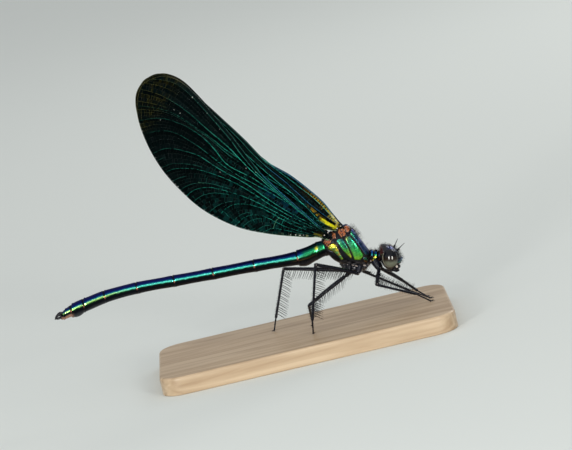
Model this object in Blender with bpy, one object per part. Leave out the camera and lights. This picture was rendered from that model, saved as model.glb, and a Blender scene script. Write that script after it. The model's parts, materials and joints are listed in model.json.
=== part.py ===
"""Life-size male demoiselle, a dark-winged damselfly, standing on a plain base.

The animal faces +X and its right side is -Y. Its long body line and its limbs are
given in millimetres from a handful of driving sizes, and MM turns them into metres.
"""
import math

import bmesh
import bpy
from mathutils import Vector

MM = 0.001
GAP = 0.3
SIDES = {"right": -1.0, "left": 1.0}
SHARP_ANGLE = 40.0
UP = (0.0, 0.0, 1.0)

# Base plate
BASE_THICK = 2.2
BASE_FRONT = 26.15
BASE_REAR = -14.0
BASE_HALF_WIDTH = 11.0
BASE_CORNER = 3.0
BASE_EDGE = 0.4
BASE_CORNER_STEPS = 6
BASE_EDGE_STEPS = 2
FEET_Z = BASE_THICK + GAP

# Abdomen: joints along its middle line as (x, z), then each segment's radii
ABDOMEN_JOINTS = [
    (11.35, 12.90),
    (9.95, 12.70),
    (7.42, 12.40),
    (1.54, 12.72),
    (-4.06, 12.95),
    (-9.38, 13.20),
    (-14.43, 13.43),
    (-18.92, 13.26),
    (-21.92, 12.78),
    (-23.74, 12.48),
    (-24.85, 12.17),
]
# front radius, waist radius, rear radius, height over width
ABDOMEN_RADII = [
    (0.78, 0.84, 0.88, 1.20),
    (0.87, 0.84, 0.78, 1.17),
    (0.79, 0.67, 0.71, 1.06),
    (0.71, 0.65, 0.69, 1.03),
    (0.69, 0.63, 0.68, 1.03),
    (0.68, 0.63, 0.68, 1.03),
    (0.68, 0.66, 0.72, 1.03),
    (0.72, 0.73, 0.78, 1.04),
    (0.76, 0.76, 0.70, 1.06),
    (0.66, 0.62, 0.56, 1.04),
]
ABDOMEN_SIDES = 16
# where each segment's sections stand, as shares of its length
LIP_SHARE = 0.05
WAIST_SHARES = (0.3, 0.6)
REAR_BELLY_SHARE = 0.9
# how far the belly hangs below the round section, in millimetres
BELLY_DROPS = {2: 0.30, 8: 0.10, 9: 0.30, 10: 0.10}
JOINT_LIP = 0.05

# Tail appendages
CERCUS_LENGTH = 1.03
CERCUS_RADIUS = 0.25
CERCUS_STEPS = 5
CERCUS_TAPER = 0.62
CERCUS_ROOT = (0.40, 0.26)
CERCUS_BOW = (0.28, 0.06)
CERCUS_INWARD = 0.06
CERCUS_FALL = 0.30
PARAPROCT_LENGTH = 0.72
PARAPROCT_RADIUS = 0.21
PARAPROCT_STEPS = 3
PARAPROCT_TAPER = 0.55
PARAPROCT_ROOT = (0.36, -0.25)
PARAPROCT_FALL = 0.02

# Pterothorax: stations along the slant of its side plates, rear to front:
# dorsal point (x, z), ventral point (x, z), half width
THORAX_STATIONS = [
    ((11.00, 13.70), (11.60, 11.75), 0.70),
    ((11.35, 14.30), (12.30, 10.80), 1.10),
    ((12.15, 14.72), (13.40, 9.95), 1.42),
    ((13.15, 15.00), (14.60, 9.45), 1.58),
    ((14.15, 15.28), (15.70, 9.22), 1.62),
    ((14.95, 15.22), (16.60, 9.30), 1.52),
    ((15.52, 14.55), (17.08, 9.85), 1.22),
    ((16.02, 13.55), (17.22, 10.75), 0.55),
]
THORAX_SIDES = 20
THORAX_STEPS = 15
THORAX_FULLNESS = 0.82
DORSAL_NARROWING = 0.16

# Raised wing hinge plates on each side: centre (x, side, z), radii (x, y, z), tilt
HINGE_PLATES = [
    ((13.95, 1.28, 14.42), (0.60, 0.30, 0.55), -20.0),
    ((11.95, 1.05, 13.95), (0.55, 0.30, 0.70), -25.0),
    ((14.75, 0.85, 15.00), (0.45, 0.35, 0.38), -35.0),
]

# Prothorax and neck
PROTHORAX_STATIONS = [
    ((16.70, 10.95), (16.45, 9.75), 0.55),
    ((17.25, 11.10), (16.95, 9.35), 0.88),
    ((17.80, 11.12), (17.50, 9.10), 0.92),
    ((18.20, 10.85), (18.00, 9.15), 0.70),
    ((18.45, 10.40), (18.35, 9.40), 0.45),
    ((18.85, 10.20), (18.80, 9.50), 0.38),
]
PROTHORAX_SIDES = 14
PROTHORAX_STEPS = 11
PROTHORAX_FULLNESS = 0.95

# Head: side outline of its middle, round from the nape over the top to the chin
HEAD_OUTLINE = [
    (18.42, 10.90),
    (18.72, 11.34),
    (19.30, 11.38),
    (20.05, 11.00),
    (20.68, 10.35),
    (21.00, 9.55),
    (21.06, 8.90),
    (20.70, 8.38),
    (19.90, 8.00),
    (19.10, 7.92),
    (18.55, 8.40),
    (18.28, 9.25),
    (18.24, 10.10),
]
HEAD_CENTRE = (19.60, 9.62)
HEAD_HALF_WIDTH = 1.70
HEAD_SIDE_SHRINK = 0.42
HEAD_RING_POINTS = 26
HEAD_STEPS = 12

EYE_CENTRE = (19.58, 9.66)
EYE_RADII = (1.05, 0.95, 1.32)
EYE_OFFSET = 1.55

MOUTH_CENTRE = (19.78, 7.74)
MOUTH_RADII = (0.74, 0.80, 0.50)
MOUTH_TILT = 32.0

ANTENNA_ROOTS = {"right": (20.30, 0.72, 10.05), "left": (20.10, 0.75, 10.30)}
ANTENNA_TIPS = {"right": (21.90, 1.30, 11.22), "left": (21.22, 1.35, 11.52)}
ANTENNA_RADIUS = 0.25
# places along a feeler and its radius there, as shares
ANTENNA_PROFILE = [(0.0, 1.0), (0.25, 1.0), (0.5, 0.85), (0.8, 0.5), (1.0, 0.2)]

# Ellipsoids: points round and points from pole to pole
HINGE_POINTS = (12, 6)
EYE_POINTS = (18, 12)
MOUTH_POINTS = (16, 10)

# Wings: root (x, z), direction of the long axis in degrees above +X, length
WING_SPECS = {
    "forewing": {
        "root": (14.30, 15.02),
        "direction": 133.06,
        "length": 33.0,
        "leading": [
            (0.0, 0.16), (0.7, 0.28), (2.2, 0.74), (4.7, 1.44), (9.5, 1.88), (13.6, 1.69),
            (17.9, 2.58), (25.4, 3.80), (28.8, 4.32), (31.2, 3.92), (32.5, 2.90),
        ],
        "trailing": [
            (0.0, -0.62), (2.0, -1.65), (5.0, -3.55), (9.5, -5.95), (14.0, -7.25),
            (18.5, -7.60), (23.5, -6.70), (27.5, -5.05), (30.6, -3.10), (32.6, -1.00),
        ],
        "side_at_root": 0.62,
        "side_at_tip": 0.50,
    },
    "hindwing": {
        "root": (12.35, 14.45),
        "direction": 129.56,
        "length": 32.0,
        "leading": [
            (0.0, 0.04), (0.9, 0.10), (5.7, 0.47), (10.5, 0.92), (13.3, 1.36),
            (19.4, 3.00), (25.6, 4.25), (28.4, 4.50), (30.4, 3.95), (31.5, 2.90),
        ],
        "trailing": [
            (0.0, -0.70), (1.2, -1.10), (2.7, -2.16), (6.6, -4.58), (10.8, -6.47),
            (15.8, -7.35), (20.6, -6.93), (24.3, -5.97), (27.6, -4.43), (30.2, -2.60),
            (31.7, -0.60),
        ],
        "side_at_root": 1.12,
        "side_at_tip": 1.47,
    },
}
WING_TIP_BOW = 0.50
WING_TIP_CROWDING = 1.25
WING_VEINS = (0.11, 0.24, 0.39, 0.55, 0.71, 0.86)
WING_STEPS = 20
MEMBRANE_HALF = 0.23
VEIN_HALF = 0.33
COSTA_HALF = 0.31
EDGE_HALF = 0.17
VEIN_WIDTH = 0.17
WIDEST_VEIN_SHARE = 0.045
WING_TIP_TAPER = 0.6
WING_SPREAD_LENGTH = 2.4

# Legs: coxa root in the body, hip, knee, ankle, toe (x, y) and claw heading in degrees
LEG_JOINTS = {
    "front_right": ((17.45, -0.35, 9.70), (17.76, -0.95, 8.45), (16.91, -4.60, 7.19),
                    (21.86, -1.50, 4.10), (23.61, -0.73), 0.0),
    "front_left": ((17.50, 0.35, 9.70), (18.15, 1.00, 8.10), (20.63, 4.60, 5.15),
                   (22.25, 1.95, 3.80), (23.69, 1.30), -10.0),
    "middle_right": ((15.45, -0.60, 9.80), (14.85, -1.40, 8.65), (9.55, -5.90, 11.99),
                     (7.50, -4.90, 4.51), (7.20, -3.90), 70.0),
    "middle_left": ((15.55, 0.60, 9.80), (15.55, 1.40, 8.50), (15.58, 7.00, 7.26),
                    (21.32, 3.60, 3.70), (23.34, 2.80), -15.0),
    "hind_right": ((14.00, -0.60, 10.10), (13.65, -1.30, 8.90), (7.49, -3.60, 6.33),
                   (7.49, -0.20, 3.60), (7.32, 1.10), 95.0),
    "hind_left": ((14.10, 0.60, 10.10), (14.00, 1.30, 8.75), (5.29, 4.30, 10.49),
                  (2.74, 4.10, 4.15), (2.15, 4.00), -110.0),
}
COXA_RADIUS = 0.42
FEMUR_RADIUS = 0.28
TIBIA_RADIUS = 0.25
TARSUS_RADIUS = 0.25
# places along each limb piece, and each piece's radius there, as shares
LIMB_PLACES = (0.0, 0.12, 0.5, 0.88, 1.0)
COXA_SHARES = (1.0, 1.0, 0.95, 0.85, 0.8)
FEMUR_SHARES = (1.0, 1.1, 1.05, 0.95, 0.95)
TIBIA_SHARES = (1.05, 1.0, 0.98, 0.98, 1.0)
# places along the foot and then along the claw, and the radii at all of them
FOOT_PLACES = (0.0, 0.35, 0.75, 1.0)
CLAW_PLACES = (0.55, 1.0)
FOOT_SHARES = (1.0, 0.95, 0.95, 1.0, 0.8, 0.45)
CLAW_LENGTH = 0.55
SOLE_HEIGHT = 0.8
LEG_SIDES = 8

FINISHES = {
    "black_chitin": ((0.012, 0.012, 0.016), 0.35, 0.1),
    "metallic_green": ((0.03, 0.32, 0.10), 0.25, 0.9),
    "metallic_teal": ((0.01, 0.16, 0.20), 0.25, 0.9),
    "dark_wing": ((0.004, 0.035, 0.04), 0.35, 0.4),
    "eye_brown": ((0.03, 0.02, 0.015), 0.12, 0.0),
    "base_wood": ((0.62, 0.50, 0.36), 0.55, 0.0),
}


def clear_scene():
    """Remove every object that the file starts with."""
    for item in list(bpy.data.objects):
        bpy.data.objects.remove(item, do_unlink=True)


def make_finishes():
    """Build one Principled material for each named finish."""
    made = {}
    for name, (colour, roughness, metallic) in FINISHES.items():
        material = bpy.data.materials.new(name)
        material.use_nodes = True
        shader = material.node_tree.nodes["Principled BSDF"]
        shader.inputs["Base Color"].default_value = (*colour, 1.0)
        shader.inputs["Roughness"].default_value = roughness
        shader.inputs["Metallic"].default_value = metallic
        made[name] = material
    return made


def smooth_path(points, count):
    """Sample a Catmull-Rom curve through the points, both ends included."""
    knots = [Vector(point) for point in points]
    first = knots[0] * 2 - knots[1]
    last = knots[-1] * 2 - knots[-2]
    padded = [first, *knots, last]
    spans = len(knots) - 1
    samples = []
    for index in range(count):
        along = index / (count - 1) * spans
        span = min(int(along), spans - 1)
        t = along - span
        a, b, c, d = padded[span:span + 4]
        cubic = (b * 3 - a - c * 3 + d) * t ** 3
        square = (a * 2 - b * 5 + c * 4 - d) * t ** 2
        linear = (c - a) * t
        samples.append((b * 2 + linear + square + cubic) * 0.5)
    return samples


def signed_power(value, power):
    """Raise the size of a value to a power and keep its sign."""
    return math.copysign(abs(value) ** power, value)


def new_object(name, mesh, material):
    """Link a mesh to the scene as a named object with one finish."""
    mesh.materials.append(material)
    mesh.shade_smooth()
    mesh.set_sharp_from_angle(angle=math.radians(SHARP_ANGLE))
    item = bpy.data.objects.new(name, mesh)
    bpy.context.scene.collection.objects.link(item)
    return item


def mesh_from(name, points, faces):
    """Make a mesh in metres from points in millimetres, with faces pointing out."""
    mesh = bpy.data.meshes.new(name)
    mesh.from_pydata([Vector(point) * MM for point in points], [], faces)
    builder = bmesh.new()
    builder.from_mesh(mesh)
    bmesh.ops.recalc_face_normals(builder, faces=builder.faces)
    builder.to_mesh(mesh)
    builder.free()
    return mesh


def loft(name, rings, material, domed=0.0):
    """Close a row of equal rings into one body, with a fan over each end.

    domed moves the middle of each end fan outward, in millimetres.
    """
    sides = len(rings[0])
    points = [point for ring in rings for point in ring]
    faces = []
    for row in range(len(rings) - 1):
        for side in range(sides):
            after = (side + 1) % sides
            low = row * sides
            high = low + sides
            faces.append((low + side, low + after, high + after, high + side))
    for row, towards in ((0, 1), (len(rings) - 1, len(rings) - 2)):
        middle = sum((Vector(p) for p in rings[row]), Vector()) / sides
        inner = sum((Vector(p) for p in rings[towards]), Vector()) / sides
        out = (middle - inner).normalized()
        points.append(middle + out * domed)
        tip = len(points) - 1
        for side in range(sides):
            faces.append((row * sides + side, row * sides + (side + 1) % sides, tip))
    return new_object(name, mesh_from(name, points, faces), material)


def ring_about(centre, tangent, up, half_width, half_height, sides):
    """Give an elliptic ring round a centre, square to its tangent."""
    across = tangent.cross(up).normalized()
    rise = across.cross(tangent).normalized()
    ring = []
    for side in range(sides):
        angle = math.tau * side / sides
        ring.append(centre + across * (half_width * math.sin(angle))
                    + rise * (half_height * math.cos(angle)))
    return ring


def onto_plane(ring, direction, plane_point, plane_normal):
    """Slide a ring's points along a direction until they lie in a plane."""
    slope = direction.dot(plane_normal)
    return [point + direction * ((plane_point - point).dot(plane_normal) / slope)
            for point in ring]


def slanted_loft(name, stations, sides, steps, fullness, narrowing, material):
    """Loft a body through stations of dorsal point, ventral point and half width."""
    rows = [(*dorsal, *ventral) for dorsal, ventral, _ in stations]
    tops = smooth_path([(row[0], 0.0, row[1]) for row in rows], steps)
    bottoms = smooth_path([(row[2], 0.0, row[3]) for row in rows], steps)
    widths = smooth_path([(station[2], 0.0, 0.0) for station in stations], steps)
    rings = []
    for top, bottom, width in zip(tops, bottoms, widths):
        centre = (top + bottom) / 2
        rise = (top - bottom) / 2
        ring = []
        for side in range(sides):
            angle = math.tau * side / sides
            up = signed_power(math.cos(angle), fullness)
            out = signed_power(math.sin(angle), fullness) * (1 - narrowing * math.cos(angle))
            ring.append(centre + rise * up + Vector((0, width.x * out, 0)))
        rings.append(ring)
    return loft(name, rings, material)


def ellipsoid(name, centre, radii, material, points, tilt=0.0):
    """Make an ellipsoid whose long axes may tilt about Y, in degrees."""
    mesh = bpy.data.meshes.new(name)
    builder = bmesh.new()
    bmesh.ops.create_uvsphere(builder, u_segments=points[0], v_segments=points[1], radius=1.0)
    angle = math.radians(tilt)
    for vertex in builder.verts:
        x = vertex.co.x * radii[0]
        z = vertex.co.z * radii[2]
        turned = Vector((x * math.cos(angle) + z * math.sin(angle), vertex.co.y * radii[1],
                         z * math.cos(angle) - x * math.sin(angle)))
        vertex.co = (turned + Vector(centre)) * MM
    builder.to_mesh(mesh)
    builder.free()
    return new_object(name, mesh, material)


def swollen_copy(item, amount):
    """Copy a body and move its surface outward by an amount in millimetres."""
    mesh = item.data.copy()
    builder = bmesh.new()
    builder.from_mesh(mesh)
    builder.normal_update()
    moves = [vertex.normal * amount * MM * vertex.calc_shell_factor() for vertex in builder.verts]
    for vertex, move in zip(builder.verts, moves):
        vertex.co += move
    builder.to_mesh(mesh)
    builder.free()
    copy = bpy.data.objects.new(item.name + "_swollen", mesh)
    bpy.context.scene.collection.objects.link(copy)
    return copy


def keep_largest(item):
    """Keep only the biggest closed surface of a mesh."""
    builder = bmesh.new()
    builder.from_mesh(item.data)
    left = set(builder.verts)
    groups = []
    while left:
        front = [left.pop()]
        group = set(front)
        while front:
            vertex = front.pop()
            for edge in vertex.link_edges:
                other = edge.other_vert(vertex)
                if other in left:
                    left.remove(other)
                    group.add(other)
                    front.append(other)
        groups.append(group)
    groups.sort(key=len, reverse=True)
    for group in groups[1:]:
        bmesh.ops.delete(builder, geom=list(group), context="VERTS")
    builder.to_mesh(item.data)
    builder.free()


def apply_modifiers(item):
    """Replace an object's mesh by what its modifiers make of it."""
    bpy.context.view_layer.update()
    graph = bpy.context.evaluated_depsgraph_get()
    result = bpy.data.meshes.new_from_object(item.evaluated_get(graph))
    item.modifiers.clear()
    item.data = result


def cut_clear(item, neighbour, gap=GAP):
    """Cut a piece back until it faces its neighbour across the gap."""
    cutter = swollen_copy(neighbour, gap)
    cut = item.modifiers.new("clearance", "BOOLEAN")
    cut.operation = "DIFFERENCE"
    cut.solver = "EXACT"
    cut.object = cutter
    apply_modifiers(item)
    bpy.data.objects.remove(cutter, do_unlink=True)
    keep_largest(item)


def make_base(finishes):
    """Build the flat plate with rounded corners that the feet stand on."""
    builder = bmesh.new()
    bmesh.ops.create_cube(builder, size=1.0)
    length = BASE_FRONT - BASE_REAR
    for vertex in builder.verts:
        vertex.co.x = (vertex.co.x * length + (BASE_FRONT + BASE_REAR) / 2) * MM
        vertex.co.y = vertex.co.y * 2 * BASE_HALF_WIDTH * MM
        vertex.co.z = (vertex.co.z + 0.5) * BASE_THICK * MM
    uprights = [edge for edge in builder.edges
                if abs(edge.verts[0].co.z - edge.verts[1].co.z) > BASE_THICK * MM / 2]
    bmesh.ops.bevel(builder, geom=uprights, offset=BASE_CORNER * MM,
                    segments=BASE_CORNER_STEPS, profile=0.5, affect="EDGES")
    rims = [edge for edge in builder.edges
            if min(vertex.co.z for vertex in edge.verts) > BASE_THICK * MM / 2]
    bmesh.ops.bevel(builder, geom=rims, offset=BASE_EDGE * MM, segments=BASE_EDGE_STEPS,
                    profile=0.5, affect="EDGES")
    mesh = bpy.data.meshes.new("stand_base")
    builder.to_mesh(mesh)
    builder.free()
    new_object("stand_base", mesh, finishes["base_wood"])


def abdomen_ring(centre, tangent, radius, tallness, belly):
    """Give one ring of the abdomen, pulled down along its belly where asked."""
    ring = []
    points = ring_about(centre, tangent, Vector(UP), radius, radius * tallness, ABDOMEN_SIDES)
    for point in points:
        drop = max(0.0, -(point - centre).z / (radius * tallness))
        ring.append(point - Vector((0, 0, belly * drop ** 3)))
    return ring


def make_abdomen(finishes):
    """Build the ten segments, each with slightly flared ends, and return them."""
    joints = [Vector((x, 0.0, z)) for x, z in ABDOMEN_JOINTS]
    tangents = []
    for index in range(len(joints)):
        before = joints[max(index - 1, 0)]
        after = joints[min(index + 1, len(joints) - 1)]
        tangents.append((after - before).normalized())
    segments = []
    for index, (front, waist, rear, tallness) in enumerate(ABDOMEN_RADII):
        start = joints[index]
        end = joints[index + 1]
        if index > 0:
            start = start + tangents[index] * GAP / 2
        if index < len(ABDOMEN_RADII) - 1:
            end = end - tangents[index + 1] * GAP / 2
        belly = BELLY_DROPS.get(index + 1, 0.0)
        rings = []
        for share, radius, drop in (
            (0.0, front - JOINT_LIP, 0.0),
            (LIP_SHARE, front, 0.0),
            (WAIST_SHARES[0], (front + waist * 2) / 3, belly),
            (WAIST_SHARES[1], (rear + waist * 2) / 3, belly * REAR_BELLY_SHARE),
            (1.0 - LIP_SHARE, rear, 0.0),
            (1.0, rear - JOINT_LIP, 0.0),
        ):
            tangent = tangents[index].lerp(tangents[index + 1], share).normalized()
            centre = start.lerp(end, share)
            rings.append(abdomen_ring(centre, tangent, radius, tallness, drop))
        finish = finishes["metallic_teal" if index % 2 else "metallic_green"]
        segments.append(loft(f"abdomen_{index + 1}", rings, finish))
    return segments


def tapered_tube(name, path, radii, sides, material):
    """Sweep a round section along a path, with one radius for each point."""
    rings = []
    up = Vector((0, 1, 0)) if abs((path[-1] - path[0]).normalized().y) < 0.7 else Vector(UP)
    for index, (centre, radius) in enumerate(zip(path, radii)):
        before = path[max(index - 1, 0)]
        after = path[min(index + 1, len(path) - 1)]
        rings.append(ring_about(centre, (after - before).normalized(), up, radius, radius, sides))
    return loft(name, rings, material)


def make_tail_pincers(finishes):
    """Build the two curved upper claspers and the two short lower ones."""
    end = Vector((ABDOMEN_JOINTS[-1][0], 0.0, ABDOMEN_JOINTS[-1][1]))
    back = (end - Vector((ABDOMEN_JOINTS[-2][0], 0.0, ABDOMEN_JOINTS[-2][1]))).normalized()
    for side, sign in SIDES.items():
        path = []
        radii = []
        for step in range(CERCUS_STEPS + 1):
            share = step / CERCUS_STEPS
            bow = math.sin(share * math.pi)
            out = CERCUS_ROOT[0] + CERCUS_BOW[0] * bow - CERCUS_INWARD * share
            up = CERCUS_ROOT[1] + CERCUS_BOW[1] * bow - CERCUS_FALL * share ** 2
            path.append(end + back * (GAP + CERCUS_LENGTH * share) + Vector((0, sign * out, up)))
            radii.append(CERCUS_RADIUS * (1 - CERCUS_TAPER * share ** 2))
        tapered_tube(f"cercus_{side}", path, radii, LEG_SIDES, finishes["black_chitin"])
        path = []
        radii = []
        for step in range(PARAPROCT_STEPS + 1):
            share = step / PARAPROCT_STEPS
            up = PARAPROCT_ROOT[1] - PARAPROCT_FALL * share
            path.append(end + back * (GAP + PARAPROCT_LENGTH * share)
                        + Vector((0, sign * PARAPROCT_ROOT[0], up)))
            radii.append(PARAPROCT_RADIUS * (1 - PARAPROCT_TAPER * share ** 2))
        tapered_tube(f"paraproct_{side}", path, radii, LEG_SIDES, finishes["black_chitin"])


def fuse(item, others):
    """Join overlapping bodies into the first one, and remove the rest."""
    group = bpy.data.collections.new("fusing")
    for other in others:
        group.objects.link(other)
    join = item.modifiers.new("fuse", "BOOLEAN")
    join.operation = "UNION"
    join.solver = "EXACT"
    join.operand_type = "COLLECTION"
    join.collection = group
    apply_modifiers(item)
    for other in others:
        bpy.data.objects.remove(other, do_unlink=True)
    bpy.data.collections.remove(group)
    keep_largest(item)


def make_thorax(finishes):
    """Build the winged thorax, its hinge plates and the front thorax with its neck."""
    pterothorax = slanted_loft("pterothorax", THORAX_STATIONS, THORAX_SIDES, THORAX_STEPS,
                               THORAX_FULLNESS, DORSAL_NARROWING, finishes["metallic_green"])
    plates = []
    for sign in SIDES.values():
        for centre, radii, tilt in HINGE_PLATES:
            place = (centre[0], centre[1] * sign, centre[2])
            plates.append(ellipsoid("hinge_plate", place, radii, finishes["metallic_green"],
                                    HINGE_POINTS, tilt))
    prothorax = slanted_loft("prothorax", PROTHORAX_STATIONS, PROTHORAX_SIDES, PROTHORAX_STEPS,
                             PROTHORAX_FULLNESS, 0.0, finishes["metallic_teal"])
    cut_clear(prothorax, pterothorax)
    return pterothorax, plates, prothorax


def make_head(finishes):
    """Build the head, wider than long, with its eyes, mouthparts and feelers."""
    centre = Vector((HEAD_CENTRE[0], 0.0, HEAD_CENTRE[1]))
    outline = smooth_path([(x, 0.0, z) for x, z in [*HEAD_OUTLINE, HEAD_OUTLINE[0]]],
                          HEAD_RING_POINTS + 1)[:-1]
    rings = []
    for step in range(HEAD_STEPS + 1):
        across = -1 + 2 * step / HEAD_STEPS
        scale = 1 - HEAD_SIDE_SHRINK * abs(across) ** 3
        middle = centre + Vector((0, across * HEAD_HALF_WIDTH, 0))
        rings.append([middle + (point - centre) * scale for point in outline])
    head = loft("head", rings, finishes["black_chitin"])
    for side, sign in SIDES.items():
        eye_centre = (EYE_CENTRE[0], sign * EYE_OFFSET, EYE_CENTRE[1])
        eye = ellipsoid(f"eye_{side}", eye_centre, EYE_RADII, finishes["eye_brown"], EYE_POINTS)
        cut_clear(eye, head)
        root = Vector(ANTENNA_ROOTS[side])
        root.y *= sign
        tip = Vector(ANTENNA_TIPS[side])
        tip.y *= sign
        path = [root.lerp(tip, place) for place, _ in ANTENNA_PROFILE]
        radii = [ANTENNA_RADIUS * share for _, share in ANTENNA_PROFILE]
        antenna = tapered_tube(f"antenna_{side}", path, radii, LEG_SIDES,
                               finishes["black_chitin"])
        cut_clear(antenna, head)
    mouth = ellipsoid("mouthparts", (MOUTH_CENTRE[0], 0.0, MOUTH_CENTRE[1]), MOUTH_RADII,
                      finishes["black_chitin"], MOUTH_POINTS, MOUTH_TILT)
    cut_clear(mouth, head)
    return head


def value_at(table, place):
    """Read a smooth value from a short table of (place, value) pairs."""
    places = [row[0] for row in table]
    if place <= places[0]:
        return table[0][1]
    if place >= places[-1]:
        return table[-1][1]
    index = max(i for i, start in enumerate(places[:-1]) if start <= place)
    p0 = table[max(index - 1, 0)]
    p1 = table[index]
    p2 = table[index + 1]
    p3 = table[min(index + 2, len(table) - 1)]
    span = p2[0] - p1[0]
    t = (place - p1[0]) / span
    slope1 = (p2[1] - p0[1]) / (p2[0] - p0[0]) * span
    slope2 = (p3[1] - p1[1]) / (p3[0] - p1[0]) * span
    a = 2 * t ** 3 - 3 * t ** 2 + 1
    b = t ** 3 - 2 * t ** 2 + t
    c = -2 * t ** 3 + 3 * t ** 2
    d = t ** 3 - t ** 2
    return a * p1[1] + b * slope1 + c * p2[1] + d * slope2


def wing_columns(chord):
    """Give each column's place across the chord and its half thickness."""
    width = min(VEIN_WIDTH / chord, WIDEST_VEIN_SHARE)
    columns = [(0.0, EDGE_HALF), (width * 0.5, COSTA_HALF), (width * 1.2, MEMBRANE_HALF)]
    for vein in WING_VEINS:
        columns.append((vein - width, MEMBRANE_HALF))
        columns.append((vein, VEIN_HALF))
        columns.append((vein + width, MEMBRANE_HALF))
    columns.append((1 - width, MEMBRANE_HALF))
    columns.append((1.0, EDGE_HALF))
    return columns


def make_wing(name, spec, sign, finishes):
    """Build one wing as a plate whose main veins rise from both of its faces."""
    angle = math.radians(spec["direction"])
    along = Vector((math.cos(angle), 0, math.sin(angle)))
    forward = Vector((math.sin(angle), 0, -math.cos(angle)))
    root = Vector((spec["root"][0], 0, spec["root"][1]))
    grids = {1: [], -1: []}
    for step in range(WING_STEPS + 1):
        share = step / WING_STEPS
        place = spec["length"] * (1 - (1 - share) ** WING_TIP_CROWDING)
        lead_place = min(place, spec["leading"][-1][0])
        trail_place = min(place, spec["trailing"][-1][0])
        lead = root + along * lead_place + forward * value_at(spec["leading"], lead_place)
        trail = root + along * trail_place + forward * value_at(spec["trailing"], trail_place)
        chord = (lead - trail).length
        bow = along * (WING_TIP_BOW if step == WING_STEPS else 0.0)
        opening = min(place / WING_SPREAD_LENGTH, 1.0)
        opening = opening * opening * (3 - 2 * opening)
        side = spec["side_at_root"] + (spec["side_at_tip"] - spec["side_at_root"]) * opening
        taper = 1.0 if step < WING_STEPS else WING_TIP_TAPER
        for face, rows in grids.items():
            row = []
            for share_across, half in wing_columns(chord):
                point = lead.lerp(trail, share_across)
                point += bow * math.sin(math.pi * share_across)
                point.y = sign * side + face * half * taper
                row.append(point)
            rows.append(row)
    columns = len(grids[1][0])
    rows = WING_STEPS + 1
    points = [point for face in (1, -1) for row in grids[face] for point in row]
    faces = []
    for face, offset in ((1, 0), (-1, rows * columns)):
        for row in range(rows - 1):
            for column in range(columns - 1):
                a = offset + row * columns + column
                b = a + 1
                c = b + columns
                d = a + columns
                faces.extend([(a, b, c), (a, c, d)])
    rim = [(0, column) for column in range(columns)]
    rim += [(row, columns - 1) for row in range(1, rows)]
    rim += [(rows - 1, column) for column in range(columns - 2, -1, -1)]
    rim += [(row, 0) for row in range(rows - 2, 0, -1)]
    for index, (row, column) in enumerate(rim):
        next_row, next_column = rim[(index + 1) % len(rim)]
        a = row * columns + column
        b = next_row * columns + next_column
        faces.append((a, b, b + rows * columns, a + rows * columns))
    return new_object(name, mesh_from(name, points, faces), finishes["dark_wing"])


def make_wings(finishes, bodies):
    """Build the four wings, closed over the back, and stop them at the thorax."""
    for kind, spec in WING_SPECS.items():
        for side, sign in SIDES.items():
            wing = make_wing(f"{kind}_{side}", spec, sign, finishes)
            for body in bodies:
                cut_clear(wing, body)


def limb_piece(name, start, end, start_cut, end_cut, radius, shares, material):
    """Build one straight limb piece between two cut planes.

    Each cut is the plane's normal, or None for a square end. The ends stay half a gap
    short of their plane, so that the next piece faces them across the whole gap.
    """
    direction = (end - start).normalized()
    up = Vector(UP) if abs(direction.z) < 0.8 else Vector((0, 1, 0))
    length = (end - start).length
    rings = []
    for place, share in zip(LIMB_PLACES, shares):
        centre = start + direction * length * place
        half = radius * share
        rings.append(ring_about(centre, direction, up, half, half, LEG_SIDES))
    if start_cut is not None:
        rings[0] = onto_plane(rings[0], direction, start + start_cut * GAP / 2, start_cut)
    if end_cut is not None:
        rings[-1] = onto_plane(rings[-1], direction, end - end_cut * GAP / 2, end_cut)
    return loft(name, rings, material)


def make_tarsus(name, ankle, toe, claw_angle, previous, finishes):
    """Build a foot that comes down to a small flat and ends in its claws."""
    angle = math.radians(claw_angle)
    heading = Vector((math.cos(angle), math.sin(angle), 0))
    down = (toe - ankle).normalized()
    cut = (previous + down).normalized()
    path = [ankle.lerp(toe, place) for place in FOOT_PLACES]
    path += [toe + heading * CLAW_LENGTH * place for place in CLAW_PLACES]
    radii = [TARSUS_RADIUS * share for share in FOOT_SHARES]
    rings = []
    for index, (centre, radius) in enumerate(zip(path, radii)):
        before = path[max(index - 1, 0)]
        after = path[min(index + 1, len(path) - 1)]
        tangent = (after - before).normalized()
        across = tangent.cross(Vector(UP))
        if across.length < 0.2:
            across = heading.cross(Vector(UP))
        across.normalize()
        rise = across.cross(tangent).normalized()
        rings.append([centre + across * (radius * math.sin(math.tau * side / LEG_SIDES))
                      + rise * (radius * math.cos(math.tau * side / LEG_SIDES))
                      for side in range(LEG_SIDES)])
    rings[0] = onto_plane(rings[0], down, ankle + cut * GAP / 2, cut)
    for ring in rings:
        for point in ring:
            point.z = max(point.z, FEET_Z)
    return loft(name, rings, finishes["black_chitin"])


def make_leg(place, joints, body, finishes):
    """Build the coxa, femur, tibia and tarsus of one leg, cut square to each joint."""
    root, hip, knee, ankle = (Vector(point) for point in joints[:4])
    lines = [(hip - root).normalized(), (knee - hip).normalized(), (ankle - knee).normalized()]
    hip_cut = (lines[0] + lines[1]).normalized()
    knee_cut = (lines[1] + lines[2]).normalized()
    toe = Vector((*joints[4], FEET_Z + TARSUS_RADIUS * SOLE_HEIGHT))
    ankle_cut = (lines[2] + (toe - ankle).normalized()).normalized()
    black = finishes["black_chitin"]
    coxa = limb_piece(f"coxa_{place}", root, hip, None, hip_cut, COXA_RADIUS, COXA_SHARES, black)
    cut_clear(coxa, body)
    limb_piece(f"femur_{place}", hip, knee, hip_cut, knee_cut, FEMUR_RADIUS, FEMUR_SHARES, black)
    limb_piece(f"tibia_{place}", knee, ankle, knee_cut, ankle_cut, TIBIA_RADIUS, TIBIA_SHARES,
               black)
    make_tarsus(f"tarsus_{place}", ankle, toe, joints[5], lines[2], finishes)


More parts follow.
